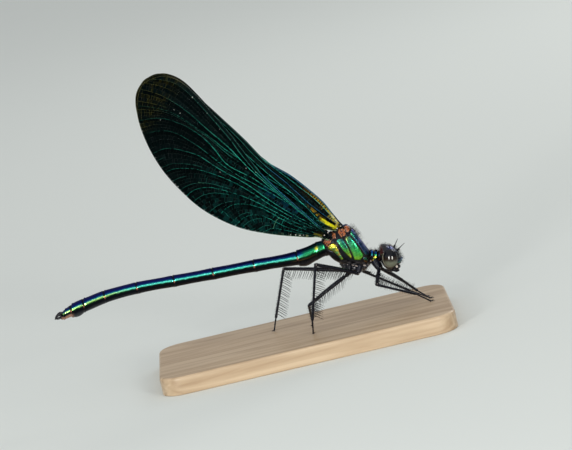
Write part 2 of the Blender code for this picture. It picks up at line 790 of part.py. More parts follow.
def main():
    """Build the whole model."""
    clear_scene()
    finishes = make_finishes()
    make_base(finishes)
    pterothorax, plates, prothorax = make_thorax(finishes)
    head = make_head(finishes)
    cut_clear(prothorax, head)
    segments = make_abdomen(finishes)
    cut_clear(segments[0], pterothorax)
    make_tail_pincers(finishes)
    make_wings(finishes, [pterothorax, *plates])
    for place, joints in LEG_JOINTS.items():
        body = prothorax if place.startswith("front") else pterothorax
        make_leg(place, joints, body, finishes)
    fuse(pterothorax, plates)


main()
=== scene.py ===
"""Looks of a life-size demoiselle, a dark-winged damselfly, on a plain wooden base.

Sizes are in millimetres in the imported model's own frame: +X is the way the animal
faces, -Y is its right side and +Z is up. MM turns them into metres as a mesh is made.
"""

import json
import logging
import math
from dataclasses import dataclass, field
from enum import Enum
from typing import Any, Callable, Iterable, Sequence

import bpy
import numpy as np
from mathutils import Matrix, Vector
from mathutils.kdtree import KDTree

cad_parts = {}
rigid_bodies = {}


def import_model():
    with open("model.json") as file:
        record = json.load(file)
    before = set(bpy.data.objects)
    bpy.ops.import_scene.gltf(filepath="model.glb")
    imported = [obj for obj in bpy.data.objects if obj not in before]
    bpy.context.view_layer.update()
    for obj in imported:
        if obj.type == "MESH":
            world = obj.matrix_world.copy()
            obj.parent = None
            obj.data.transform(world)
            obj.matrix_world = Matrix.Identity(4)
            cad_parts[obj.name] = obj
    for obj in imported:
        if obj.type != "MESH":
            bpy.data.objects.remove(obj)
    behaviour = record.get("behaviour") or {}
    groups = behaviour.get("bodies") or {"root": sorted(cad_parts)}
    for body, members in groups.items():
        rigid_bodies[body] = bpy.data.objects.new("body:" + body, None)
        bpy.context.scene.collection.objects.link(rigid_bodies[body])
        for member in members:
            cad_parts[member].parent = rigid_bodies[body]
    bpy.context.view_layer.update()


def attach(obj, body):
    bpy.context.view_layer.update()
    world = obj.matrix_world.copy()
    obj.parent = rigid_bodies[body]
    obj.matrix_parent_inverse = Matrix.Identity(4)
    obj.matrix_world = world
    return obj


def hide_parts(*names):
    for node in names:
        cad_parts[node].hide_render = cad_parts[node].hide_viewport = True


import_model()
LOG = logging.getLogger("damselfly")

Array = np.ndarray
Colour = tuple[float, float, float]
Point2 = tuple[float, float]
Point3 = tuple[float, float, float]

MM = 0.001
BODY = "root"

# How many waves make up a soft unevenness, how their pitch varies, and their usual peak
WAVES = 7
WAVE_PITCHES = (0.6, 1.6)
WAVE_PEAK = 4.5
# How the corners of a bristle are spread round its root's place on the bake sheet
BAKE_TURN = 2.4
BAKE_SPREAD = 0.0015


class Side(Enum):
    """The animal's two sides, by the sign of Y."""

    RIGHT = -1.0
    LEFT = 1.0

    @property
    def word(self) -> str:
        """Give the side as a word for names."""
        return self.name.lower()


class Slot(Enum):
    """The material slots that the part's record names."""

    BODY = "metallic_body"
    HEAD = "head_shell"
    BLACK = "black_shell"
    EYE = "compound_eye"
    WING = "wing_membrane"
    BASE = "base_wood"


def smooth(low: float, high: float, value: Array) -> Array:
    """Ramp from 0 at low to 1 at high with soft ends."""
    share = np.clip((value - low) / (high - low), 0.0, 1.0)
    return share * share * (3.0 - 2.0 * share)


def bell(value: Array, middle: float, width: float) -> Array:
    """Give a soft bump that is 1 at the middle and fades over the width."""
    return np.exp(-(((value - middle) / width) ** 2))


def unit(vectors: Array) -> Array:
    """Scale a vector, or each row of vectors, to a length of one."""
    return vectors / np.linalg.norm(vectors, axis=-1, keepdims=True)


def lengths_along(curve: Array) -> Array:
    """Measure how far along a line each of its points lies."""
    steps = np.linalg.norm(np.diff(curve, axis=0), axis=1)
    return np.concatenate([[0.0], np.cumsum(steps)])


def read_line(curve: Array, places: Array) -> Array:
    """Read points off a line at the given distances along it."""
    along = lengths_along(curve)
    return np.stack([np.interp(places, along, column) for column in curve.T], axis=1)


def even_line(curve: Array, count: int) -> Array:
    """Spread a number of points evenly along a line."""
    return read_line(curve, np.linspace(0.0, lengths_along(curve)[-1], count))


def spline(points: Sequence[Sequence[float]] | Array, count: int, even: bool = True) -> Array:
    """Sample a Catmull-Rom curve through points.

    Args:
        points: The points that the curve passes through.
        count: How many samples to give.
        even: True to space them evenly in length, False evenly between the points.

    Returns:
        The samples, one row each.
    """
    knots = np.asarray(points, float)
    padded = np.vstack([2 * knots[0] - knots[1], knots, 2 * knots[-1] - knots[-2]])
    spans = len(knots) - 1
    places = np.linspace(0.0, spans, 24 * spans + 1 if even else count)
    span = np.minimum(places.astype(int), spans - 1)
    t = (places - span)[:, None]
    a, b, c, d = (padded[span + step] for step in range(4))
    curve = 0.5 * (2 * b + (c - a) * t + (2 * a - 5 * b + 4 * c - d) * t**2
                   + (3 * b - a - 3 * c + d) * t**3)
    return even_line(curve, count) if even else curve


def mix(first: Colour | Array, second: Colour | Array, share: Array) -> Array:
    """Blend two colours by a share for each point."""
    share = np.asarray(share)[..., None]
    return np.asarray(first) * (1 - share) + np.asarray(second) * share


def inside_distance(points: Array, corners: Sequence[Point2]) -> Array:
    """Measure how far points lie inside a polygon, negative outside it.

    Args:
        points: Points in the polygon's plane, one row each.
        corners: The polygon's corners in order.

    Returns:
        A distance for each point, in the same unit.
    """
    ring = np.asarray(corners, float)
    nearest = np.full(len(points), np.inf)
    inside = np.zeros(len(points), bool)
    for start, end in zip(ring, np.roll(ring, -1, axis=0)):
        edge = end - start
        offset = points - start
        share = np.clip(offset @ edge / (edge @ edge), 0.0, 1.0)
        nearest = np.minimum(nearest, np.linalg.norm(offset - share[:, None] * edge, axis=1))
        spans = (start[1] > points[:, 1]) != (end[1] > points[:, 1])
        with np.errstate(divide="ignore", invalid="ignore"):
            crossing = start[0] + (points[:, 1] - start[1]) / edge[1] * edge[0]
        inside ^= spans & (points[:, 0] < crossing)
    return np.where(inside, nearest, -nearest)


def wave_noise(points: Array, size: float, seed: int) -> Array:
    """Give soft, seeded unevenness from -1 to 1 that repeats about every size.

    Args:
        points: Points in millimetres, one row each.
        size: How far apart its waves are.
        seed: The seed of its draw.

    Returns:
        A value for each point.
    """
    draw = np.random.default_rng(seed)
    total = np.zeros(len(points))
    for _ in range(WAVES):
        direction = draw.normal(size=3)
        direction *= draw.uniform(*WAVE_PITCHES) * math.tau / size / np.linalg.norm(direction)
        total += np.sin(points @ direction + draw.uniform(0, math.tau))
    return total / WAVE_PEAK


def turned(about_z: float, about_y: float) -> Array:
    """Give the axes of a frame turned about Z and then tilted about Y, in degrees.

    Args:
        about_z: The turn about Z.
        about_y: The tilt about Y.

    Returns:
        The three directions, one row each.
    """
    turn = Matrix.Rotation(math.radians(about_z), 3, "Z")
    tilt = Matrix.Rotation(math.radians(about_y), 3, "Y")
    return np.array(turn @ tilt).T


def placed(name: str, data: bpy.types.ID | None) -> bpy.types.Object:
    """Make an object of some data and link it to the scene.

    Args:
        name: The object's name.
        data: Its mesh, lamp or camera.

    Returns:
        The linked object.
    """
    made = bpy.data.objects.new(name, data)
    bpy.context.scene.collection.objects.link(made)
    return made


def new_piece(name: str, points: Array, faces: Iterable[Sequence[int]],
              finish: bpy.types.Material | None = None, sharp: float = 55.0) -> bpy.types.Object:
    """Make a mesh object from points in millimetres.

    Args:
        name: The piece's name.
        points: One row for each vertex.
        faces: The vertex numbers of each face.
        finish: The material, if it is known already.
        sharp: The angle in degrees past which an edge stays sharp.

    Returns:
        The linked object, at the origin.
    """
    mesh = bpy.data.meshes.new(name)
    mesh.from_pydata((np.asarray(points, float) * MM).tolist(), [], [tuple(f) for f in faces])
    mesh.update()
    mesh.shade_smooth()
    mesh.set_sharp_from_angle(angle=math.radians(sharp))
    if finish is not None:
        mesh.materials.append(finish)
    return placed(name, mesh)


def read_points(mesh: bpy.types.Mesh) -> Array:
    """Read a mesh's vertices in millimetres.

    Args:
        mesh: The mesh.

    Returns:
        One row for each vertex.
    """
    flat = np.empty(len(mesh.vertices) * 3, np.float32)
    mesh.vertices.foreach_get("co", flat)
    return flat.reshape(-1, 3).astype(float) / MM


def read_normals(mesh: bpy.types.Mesh) -> Array:
    """Read the normal at each vertex.

    Args:
        mesh: The mesh.

    Returns:
        One row for each vertex.
    """
    flat = np.empty(len(mesh.vertices) * 3, np.float32)
    mesh.vertices.foreach_get("normal", flat)
    return flat.reshape(-1, 3).astype(float)


def write_points(mesh: bpy.types.Mesh, points: Array) -> None:
    """Move a mesh's vertices to new places in millimetres."""
    mesh.vertices.foreach_set("co", (points * MM).astype(np.float32).ravel())
    mesh.update()


def paint(mesh: bpy.types.Mesh, name: str, colours: Array, domain: str = "POINT") -> None:
    """Store a colour for each point, or each face, as a named attribute.

    Args:
        mesh: The mesh.
        name: The attribute's name.
        colours: One row for each point or face.
        domain: POINT or FACE.
    """
    layer = mesh.attributes.new(name, "FLOAT_COLOR", domain)
    full = np.column_stack([np.clip(colours, 0.0, None), np.ones(len(colours))])
    layer.data.foreach_set("color", full.astype(np.float32).ravel())


def store(mesh: bpy.types.Mesh, name: str, values: Array) -> None:
    """Store a number for each point as a named attribute."""
    layer = mesh.attributes.new(name, "FLOAT", "POINT")
    layer.data.foreach_set("value", np.asarray(values, np.float32).ravel())


def store_vectors(mesh: bpy.types.Mesh, name: str, values: Array) -> None:
    """Store a vector for each point as a named attribute."""
    layer = mesh.attributes.new(name, "FLOAT_VECTOR", "POINT")
    layer.data.foreach_set("vector", np.asarray(values, np.float32).ravel())


def loft_faces(rows: int, sides: int, first: int = 0) -> list[tuple[int, ...]]:
    """List the faces of a closed tube of rings, with a fan over each end.

    Args:
        rows: How many rings there are.
        sides: How many points each ring has.
        first: The number of the first vertex. The two end points come after the rings.

    Returns:
        The faces, for rings that turn clockwise as seen along their row.
    """
    faces: list[tuple[int, ...]] = []
    for row in range(rows - 1):
        for side in range(sides):
            after = (side + 1) % sides
            low = first + row * sides
            high = low + sides
            faces.append((low + side, high + side, high + after, low + after))
    start = first + rows * sides
    last = first + (rows - 1) * sides
    for side in range(sides):
        after = (side + 1) % sides
        faces.append((first + side, first + after, start))
        faces.append((last + after, last + side, start + 1))
    return faces


@dataclass
class Shell:
    """Points and faces of one or more closed shapes, gathered before they are a mesh."""

    points: list[Array] = field(default_factory=list)
    faces: list[tuple[int, ...]] = field(default_factory=list)
    count: int = 0

    def add(self, points: Array, faces: Iterable[Sequence[int]]) -> None:
        """Add points and the faces that number them from zero.

        Args:
            points: One row for each vertex.
            faces: The vertex numbers of each face.
        """
        self.faces.extend(tuple(index + self.count for index in face) for face in faces)
        self.points.append(np.asarray(points, float))
        self.count += len(points)

    def add_loft(self, rings: Array) -> None:
        """Add a tube through equal rings, closed at both ends.

        Args:
            rings: Points as rows by sides by three.
        """
        rows, sides, _ = rings.shape
        tube = np.roll(rings, -1, axis=1)
        run = np.diff(rings.mean(axis=1), axis=0)
        turn = np.cross(rings[:-1] - rings[:-1].mean(axis=1, keepdims=True),
                        tube[:-1] - rings[:-1].mean(axis=1, keepdims=True)).sum(axis=1)
        if (turn * run).sum() > 0:
            rings = rings[:, ::-1]
        ends = np.stack([rings[0].mean(axis=0), rings[-1].mean(axis=0)])
        self.add(np.vstack([rings.reshape(-1, 3), ends]), loft_faces(rows, sides))

    def add_tube(self, path: Array, radii: Array, sides: int = 10, ridges: float = 0.0) -> None:
        """Add a round tube along a path.

        Args:
            path: The middle line, one row for each ring.
            radii: The radius at each ring.
            sides: How many points go round.
            ridges: How far four low ridges stand out, as a share of the radius.
        """
        tangents = unit(np.gradient(path, axis=0))
        guide = np.array([0.0, 1.0, 0.0])
        if abs(tangents[0] @ guide) > 0.8:
            guide = np.array([0.0, 0.0, 1.0])
        angles = np.linspace(0.0, math.tau, sides, endpoint=False)
        rings = []
        for centre, tangent, radius in zip(path, tangents, radii):
            across = unit(np.cross(guide, tangent))
            up = np.cross(tangent, across)
            swell = radius * (1 + ridges * np.cos(4 * angles))
            rings.append(centre + np.outer(np.cos(angles) * swell, across)
                         + np.outer(np.sin(angles) * swell, up))
        self.add_loft(np.array(rings)[:, ::-1])

    def add_ball(self, centre: Sequence[float], radii: Sequence[float],
                 axes: Array | None = None, sides: int = 16) -> None:
        """Add an ellipsoid, turned to the given axes.

        Args:
            centre: Its middle.
            radii: Its three half sizes.
            axes: A matrix whose rows are its three directions, or None for the frame's.
            sides: How many points go round.
        """
        rows = sides // 2 + 1
        lift = np.linspace(0.04, math.pi - 0.04, rows)
        turn = np.linspace(0.0, math.tau, sides, endpoint=False)
        ball = np.stack([np.outer(np.sin(lift), np.cos(turn)),
                         np.outer(np.sin(lift), np.sin(turn)),
                         np.repeat(np.cos(lift)[:, None], sides, axis=1)], axis=2)
        shaped = ball * np.asarray(radii)
        if axes is not None:
            shaped = shaped @ np.asarray(axes)
        self.add_loft((shaped + np.asarray(centre))[:, ::-1])

    def piece(self, name: str, finish: bpy.types.Material | None = None,
              sharp: float = 55.0) -> bpy.types.Object:
        """Turn what was gathered into an object."""
        return new_piece(name, np.vstack(self.points), self.faces, finish, sharp)


def baked(piece: bpy.types.Object, name: str) -> bpy.types.Object:
    """Swap a piece for a plain mesh of what its modifiers make of it.

    Args:
        piece: The piece, which is used up.
        name: The new piece's name.

    Returns:
        The plain piece.
    """
    bpy.context.view_layer.update()
    graph = bpy.context.evaluated_depsgraph_get()
    mesh = bpy.data.meshes.new_from_object(piece.evaluated_get(graph))
    mesh.name = name
    bpy.data.objects.remove(piece, do_unlink=True)
    return placed(name, mesh)


def hand_over(piece: bpy.types.Object, slot: Slot, *nodes: str) -> None:
    """Let a finished piece ride on the body and stand for its nodes.

    Args:
        piece: The piece.
        slot: The record's slot; not used.
        nodes: The nodes that it replaces, if any.
    """
    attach(piece, BODY)
    if nodes:
        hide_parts(*nodes)
    LOG.info("%s: %d vertices", piece.name, len(piece.data.vertices))


@dataclass
class Sketch:
    """Adds nodes to a tree and wires them up."""

    tree: bpy.types.NodeTree

    def add(self, kind: str, wires: dict[str | int, Any] | None = None,
            **settings: Any) -> bpy.types.Node:
        """Add one node.

        Args:
            kind: The node's type name.
            wires: Values or output sockets, by input name or number.
            settings: Properties of the node itself.

        Returns:
            The new node.
        """
        node = self.tree.nodes.new(kind)
        for key, value in settings.items():
            setattr(node, key, value)
        for key, value in (wires or {}).items():
            socket = node.inputs[key]
            if isinstance(value, bpy.types.NodeSocket):
                self.tree.links.new(value, socket)
            else:
                socket.default_value = value
        return node

    def maths(self, operation: str, *values: Any) -> bpy.types.NodeSocket:
        """Work out a sum of two or three values or sockets."""
        node = self.add("ShaderNodeMath", dict(enumerate(values)), operation=operation)
        return node.outputs[0]

    def named(self, name: str, kind: str = "FLOAT") -> bpy.types.NodeSocket:
        """Read a named attribute in a geometry tree."""
        node = self.add("GeometryNodeInputNamedAttribute", {"Name": name}, data_type=kind)
        return node.outputs["Attribute"]


# Geometry trees

def open_tree(kind: str, name: str, inputs: Sequence[tuple[str, str, Any]],
              outputs: Sequence[tuple[str, str]]) -> tuple[Sketch, Any, Any]:
    """Start a node group with named sockets.

    Args:
        kind: The sort of group, Geometry or Shader.
        name: The group's name.
        inputs: Name, socket type and default of each input.
        outputs: Name and socket type of each output.

    Returns:
        The sketch, the group input node and the group output node.
    """
    tree = bpy.data.node_groups.new(name, f"{kind}NodeTree")
    for label, sort, default in inputs:
        socket = tree.interface.new_socket(label, in_out="INPUT", socket_type=f"NodeSocket{sort}")
        if default is not None:
            socket.default_value = default
    for label, sort in outputs:
        tree.interface.new_socket(label, in_out="OUTPUT", socket_type=f"NodeSocket{sort}")
    return Sketch(tree), tree.nodes.new("NodeGroupInput"), tree.nodes.new("NodeGroupOutput")


def open_growth(name: str, inputs: Sequence[tuple[str, str, Any]]) -> tuple[Sketch, Any, Any]:
    """Start a geometry tree that takes a mesh and a finish besides its own inputs.

    Args:
        name: The tree's name.
        inputs: Name, socket type and default of each further input.

    Returns:
        The sketch, the group input node and the group output node.
    """
    return open_tree("Geometry", name, [("Geometry", "Geometry", None), *inputs,
                                        ("Finish", "Material", None)],
                     [("Geometry", "Geometry")])


def close_tree(sketch: Sketch, given: bpy.types.Node, out: bpy.types.Node,
               geometry: bpy.types.NodeSocket) -> bpy.types.NodeTree:
    """End a tree in Realize Instances and Set Material.

    Args:
        sketch: The sketch of the tree.
        given: Its input node.
        out: Its output node.
        geometry: The geometry to end with.

    Returns:
        The finished tree.
    """
    real = sketch.add("GeometryNodeRealizeInstances", {"Geometry": geometry})
    dressed = sketch.add("GeometryNodeSetMaterial", {"Geometry": real.outputs[0],
                                                     "Material": given.outputs["Finish"]})
    sketch.tree.links.new(dressed.outputs[0], out.inputs[0])
    return sketch.tree


def vein_tree() -> bpy.types.NodeTree:
    """Build the tree that sweeps a round section along every line of a wire mesh.

    Returns:
        The finished tree.
    """
    sketch, given, out = open_growth("swept_vein", [("Sides", "Int", 5)])
    line = sketch.add("GeometryNodeMeshToCurve", {"Mesh": given.outputs["Geometry"]})
    ring = sketch.add("GeometryNodeCurvePrimitiveCircle", {
        "Resolution": given.outputs["Sides"], "Radius": 1.0})
    tube = sketch.add("GeometryNodeCurveToMesh", {
        "Curve": line.outputs[0], "Profile Curve": ring.outputs[0],
        "Scale": sketch.named("thickness"), "Fill Caps": True})
    soft = sketch.add("GeometryNodeSetShadeSmooth", {"Geometry": tube.outputs[0]})
    return close_tree(sketch, given, out, soft.outputs[0])


def bristle_tree() -> bpy.types.NodeTree:
    """Build the tree that plants a bent, tapered bristle on each point.

    Returns:
        The finished tree.
    """
    sketch, given, out = open_growth("planted_bristle", [
        ("Sides", "Int", 4), ("Rings", "Int", 3), ("Bend", "Float", 0.12)])
    cone = sketch.add("GeometryNodeMeshCone", {
        "Vertices": given.outputs["Sides"], "Side Segments": given.outputs["Rings"],
        "Radius Top": 0.3, "Radius Bottom": 1.0, "Depth": 1.0}, fill_type="TRIANGLE_FAN")
    place = sketch.add("GeometryNodeInputPosition")
    split = sketch.add("ShaderNodeSeparateXYZ", {0: place.outputs[0]})
    height = split.outputs["Z"]
    lean = sketch.maths("MULTIPLY", sketch.maths("MULTIPLY", height, height),
                        given.outputs["Bend"])
    shift = sketch.add("ShaderNodeCombineXYZ", {"X": lean})
    bent = sketch.add("GeometryNodeSetPosition", {"Geometry": cone.outputs["Mesh"],
                                                  "Offset": shift.outputs[0]})
    points = sketch.add("GeometryNodeMeshToPoints", {"Mesh": given.outputs["Geometry"]})
    turn = sketch.add("FunctionNodeAxesToRotation", {
        "Primary Axis": sketch.named("aim", "FLOAT_VECTOR"),
        "Secondary Axis": sketch.named("lean", "FLOAT_VECTOR")},
        primary_axis="Z", secondary_axis="X")
    size = sketch.named("size", "FLOAT_VECTOR")
    planted = sketch.add("GeometryNodeInstanceOnPoints", {
        "Points": points.outputs[0], "Instance": bent.outputs[0],
        "Rotation": turn.outputs[0], "Scale": size})
    real = sketch.add("GeometryNodeRealizeInstances", {"Geometry": planted.outputs[0]})
    soft = sketch.add("GeometryNodeSetShadeSmooth", {"Geometry": real.outputs[0]})
    return close_tree(sketch, given, out, soft.outputs[0])


def facet_tree() -> bpy.types.NodeTree:
    """Build the tree that makes a ball of low six-sided domes, for a compound eye.

    Returns:
        The finished tree.
    """
    sketch, given, out = open_growth("faceted_eye", [
        ("Rounds", "Int", 6), ("Dome", "Float", 0.01),
        ("Half Sizes", "Vector", (1.0, 1.0, 1.0)), ("Middle", "Vector", (0.0, 0.0, 0.0))])
    coarse = sketch.add("GeometryNodeMeshIcoSphere", {
        "Radius": 1.0, "Subdivisions": given.outputs["Rounds"]})
    one_more = sketch.maths("ADD", given.outputs["Rounds"], 1.0)
    fine = sketch.add("GeometryNodeMeshIcoSphere", {"Radius": 1.0, "Subdivisions": one_more})
    near = sketch.add("GeometryNodeProximity", {0: coarse.outputs[0]}, target_element="POINTS")
    high = sketch.add("FunctionNodeCompare", {0: near.outputs["Distance"], 1: 0.001},
                      operation="LESS_THAN")
    place = sketch.add("GeometryNodeInputPosition")
    lift = sketch.add("ShaderNodeVectorMath", {
        0: place.outputs[0], "Scale": given.outputs["Dome"]}, operation="SCALE")
    domed = sketch.add("GeometryNodeSetPosition", {
        "Geometry": fine.outputs[0], "Selection": high.outputs[0], "Offset": lift.outputs[0]})
    sized = sketch.add("GeometryNodeTransform", {
        "Geometry": domed.outputs[0], "Translation": given.outputs["Middle"],
        "Scale": given.outputs["Half Sizes"]})
    soft = sketch.add("GeometryNodeSetShadeSmooth", {"Geometry": sized.outputs[0]})
    return close_tree(sketch, given, out, soft.outputs[0])


def grow(tree: bpy.types.NodeTree, name: str, seedling: bpy.types.Object,
         **values: Any) -> bpy.types.Object:
    """Run a geometry tree on an object and give the result as a plain mesh object.

    Args:
        tree: The geometry tree.
        name: The new piece's name.
        seedling: The object whose mesh goes in, which is used up.
        values: Values for the tree's inputs, with _ for a space in their names.

    Returns:
        The finished piece.
    """
    run = seedling.modifiers.new(tree.name, "NODES")
    run.node_group = tree
    wanted = {key.replace("_", " "): value for key, value in values.items()}
    for item in tree.interface.items_tree:
        if item.in_out == "INPUT" and item.name in wanted:
            run[item.identifier] = wanted[item.name]
    return baked(seedling, name)


# Shader groups and finishes

def grain_group() -> bpy.types.NodeTree:
    """Build the fine pitted grain that every hard skin has, as a bumped normal.

    Returns:
        The finished group.
    """
    sketch, given, out = open_tree("Shader", "fine_grain", [
        ("Scale", "Float", 9000.0), ("Depth", "Float", 0.2)], [("Normal", "Vector")])
    place = sketch.add("ShaderNodeTexCoord")
    pits = sketch.add("ShaderNodeTexVoronoi", {
        "Vector": place.outputs["Object"], "Scale": given.outputs["Scale"]})
    wide = sketch.add("ShaderNodeTexNoise", {
        "Vector": place.outputs["Object"],
        "Scale": sketch.maths("MULTIPLY", given.outputs["Scale"], 0.21), "Detail": 3.0})
    height = sketch.maths("ADD", sketch.maths("MULTIPLY", pits.outputs["Distance"], 0.6),
                          wide.outputs[0])
    bump = sketch.add("ShaderNodeBump", {
        "Strength": given.outputs["Depth"], "Distance": 0.00003, "Height": height})
    sketch.tree.links.new(bump.outputs[0], out.inputs["Normal"])
    return sketch.tree


def drift_group() -> bpy.types.NodeTree:
    """Build the slow drift of a colour towards a second one, in uneven flecks.

    Returns:
        The finished group.
    """
    sketch, given, out = open_tree("Shader", "colour_drift", [
        ("Colour", "Color", (0.5, 0.5, 0.5, 1.0)), ("Second", "Color", (0.2, 0.2, 0.2, 1.0)),
        ("Scale", "Float", 1500.0), ("Amount", "Float", 0.4)],
        [("Colour", "Color"), ("Mask", "Float")])
    place = sketch.add("ShaderNodeTexCoord")
    cloud = sketch.add("ShaderNodeTexNoise", {
        "Vector": place.outputs["Object"], "Scale": given.outputs["Scale"],
        "Detail": 4.0, "Roughness": 0.65})
    mask = sketch.add("ShaderNodeMapRange", {
        "Value": cloud.outputs[0], "From Min": 0.38, "From Max": 0.68})
    share = sketch.maths("MULTIPLY", mask.outputs[0], given.outputs["Amount"])
    blend = sketch.add("ShaderNodeMix", {
        0: share, 6: given.outputs["Colour"], 7: given.outputs["Second"]}, data_type="RGBA")
    sketch.tree.links.new(blend.outputs[2], out.inputs["Colour"])
    sketch.tree.links.new(mask.outputs[0], out.inputs["Mask"])
    return sketch.tree


class Kit:
    """The geometry trees and shader groups, each built once."""

    vein: bpy.types.NodeTree
    bristle: bpy.types.NodeTree
    facet: bpy.types.NodeTree
    grain: bpy.types.NodeTree
    drift: bpy.types.NodeTree

    @classmethod
    def build(cls) -> None:
        """Build every tree and group."""
        cls.vein = vein_tree()
        cls.bristle = bristle_tree()
        cls.facet = facet_tree()
        cls.grain = grain_group()
        cls.drift = drift_group()


def open_material(name: str, values: dict[str, float | Sequence[float]]) -> tuple[
        bpy.types.Material, Sketch, bpy.types.Node]:
    """Start a material and set the plain values of its shader.

    Args:
        name: The material's name.
        values: Values of the shader's inputs.

    Returns:
        The material, a sketch of its tree and its shader node.
    """
    material = bpy.data.materials.new(name)
    material.use_nodes = True
    shader = material.node_tree.nodes["Principled BSDF"]
    for key, value in values.items():
        shader.inputs[key].default_value = value
    return material, Sketch(material.node_tree), shader


@dataclass(frozen=True)
class Finish:
    """A surface finish: its plain values, its fine grain and its drift of colour.

    The colour comes from a painted attribute where one is named.
    """

    name: str
    colour: Colour
    second: Colour
    roughness: float = 0.4
    metallic: float = 0.0
    specular: float = 0.5
    tint: Colour = (1.0, 1.0, 1.0)
    coat: float = 0.0
    coat_roughness: float = 0.1
    painted: str = ""
    metal_from: str = ""
    drift_scale: float = 1500.0
    drift_amount: float = 0.4
    grain_scale: float = 9000.0
    grain_depth: float = 0.2
    roughness_spread: float = 0.12

    def build(self) -> bpy.types.Material:
        """Make the material.

        Returns:
            A material whose Principled shader reads the painted colour, drift and grain.
        """
        material, sketch, shader = open_material(self.name, {
            "Roughness": self.roughness, "Metallic": self.metallic,
            "Specular IOR Level": self.specular, "Specular Tint": (*self.tint, 1.0),
            "Coat Weight": self.coat, "Coat Roughness": self.coat_roughness})
        drift = sketch.add("ShaderNodeGroup", {
            "Colour": (*self.colour, 1.0), "Second": (*self.second, 1.0),
            "Scale": self.drift_scale, "Amount": self.drift_amount}, node_tree=Kit.drift)
        link = material.node_tree.links.new
        if self.painted:
            paintwork = sketch.add("ShaderNodeAttribute", attribute_name=self.painted)
            link(paintwork.outputs["Color"], drift.inputs["Colour"])
            darker = sketch.add("ShaderNodeMix", {
                0: 1.0, 6: paintwork.outputs["Color"], 7: (*self.second, 1.0)},
                data_type="RGBA", blend_type="MULTIPLY")
            link(darker.outputs[2], drift.inputs["Second"])
        link(drift.outputs["Colour"], shader.inputs["Base Color"])
        if self.metal_from:
            metal = sketch.add("ShaderNodeAttribute", attribute_name=self.metal_from)
            link(metal.outputs["Fac"], shader.inputs["Metallic"])
        spread = self.roughness_spread / 2
        rough = sketch.add("ShaderNodeMapRange", {
            "Value": drift.outputs["Mask"], "To Min": self.roughness - spread,
            "To Max": self.roughness + spread})
        link(rough.outputs[0], shader.inputs["Roughness"])
        grain = sketch.add("ShaderNodeGroup", {
            "Scale": self.grain_scale, "Depth": self.grain_depth}, node_tree=Kit.grain)
        link(grain.outputs["Normal"], shader.inputs["Normal"])
        return material


METAL_SKIN = Finish("metallic_skin", (0.02, 0.3, 0.2), (0.55, 0.6, 0.7), roughness=0.22,
                    painted="shade", metal_from="metal", drift_scale=2600.0,
                    drift_amount=0.25, grain_scale=12000.0, grain_depth=0.22)
BLACK_SHELL = Finish("black_shell", (0.004, 0.004, 0.006), (0.012, 0.013, 0.02), roughness=0.3,
                     specular=0.3, grain_scale=16000.0, grain_depth=0.3)
BRISTLE = Finish("bristle_black", (0.004, 0.004, 0.005), (0.01, 0.009, 0.008), roughness=0.5,
                 specular=0.15, grain_depth=0.0)
HAIR = Finish("fine_hair", (0.018, 0.017, 0.014), (0.05, 0.047, 0.04), roughness=0.6,
              specular=0.2, grain_depth=0.0)
EYE = Finish("eye_lens", (0.02, 0.015, 0.01), (0.55, 0.55, 0.55), roughness=0.15,
             painted="shade", specular=0.04, coat=0.45, coat_roughness=0.035, drift_scale=1800.0,
             drift_amount=0.4, grain_depth=0.0, roughness_spread=0.03)
MEMBRANE = Finish("wing_membrane", (0.003, 0.006, 0.007), (0.3, 0.35, 0.4), roughness=0.38,
                  painted="shade", specular=0.025, tint=(0.35, 0.95, 0.9),
                  drift_scale=900.0, drift_amount=0.5, grain_scale=20000.0, grain_depth=0.25)
VEIN = Finish("wing_vein", (0.0, 0.12, 0.1), (0.35, 0.45, 0.5), roughness=0.3,
              painted="shade", metallic=0.75, drift_scale=700.0, drift_amount=0.7,
              grain_depth=0.0)
SOFT = Finish("soft_skin", (0.3, 0.25, 0.22), (0.14, 0.09, 0.07), roughness=0.55,
              grain_scale=9000.0, grain_depth=0.5)
PALE = Finish("pale_joint", (0.7, 0.64, 0.55), (0.42, 0.28, 0.2), roughness=0.45,
              drift_scale=3000.0)
DUST = Finish("pale_dust", (0.55, 0.56, 0.5), (0.35, 0.3, 0.26), roughness=0.7,
              grain_depth=0.0)
FOLD = Finish("pale_fold", (0.06, 0.24, 0.12), (0.16, 0.26, 0.1), roughness=0.5,
              grain_depth=0.0)
BEAD = Finish("bead_glass", (0.1, 0.055, 0.02), (0.03, 0.015, 0.01), roughness=0.08, coat=0.5,
              grain_depth=0.0, roughness_spread=0.02)
RIM = Finish("eye_rim", (0.2, 0.18, 0.12), (0.05, 0.045, 0.03), roughness=0.4,
             drift_scale=3000.0)
LEG_SHELL = Finish("leg_shell", (0.003, 0.0035, 0.006), (0.008, 0.01, 0.024), roughness=0.3,
                   specular=0.2, drift_scale=1800.0, grain_scale=18000.0, grain_depth=0.35)
FLOOR = Finish("studio_floor", (0.74, 0.77, 0.73), (0.725, 0.755, 0.715), roughness=0.8,
               specular=0.2, drift_scale=4.0, grain_depth=0.0)


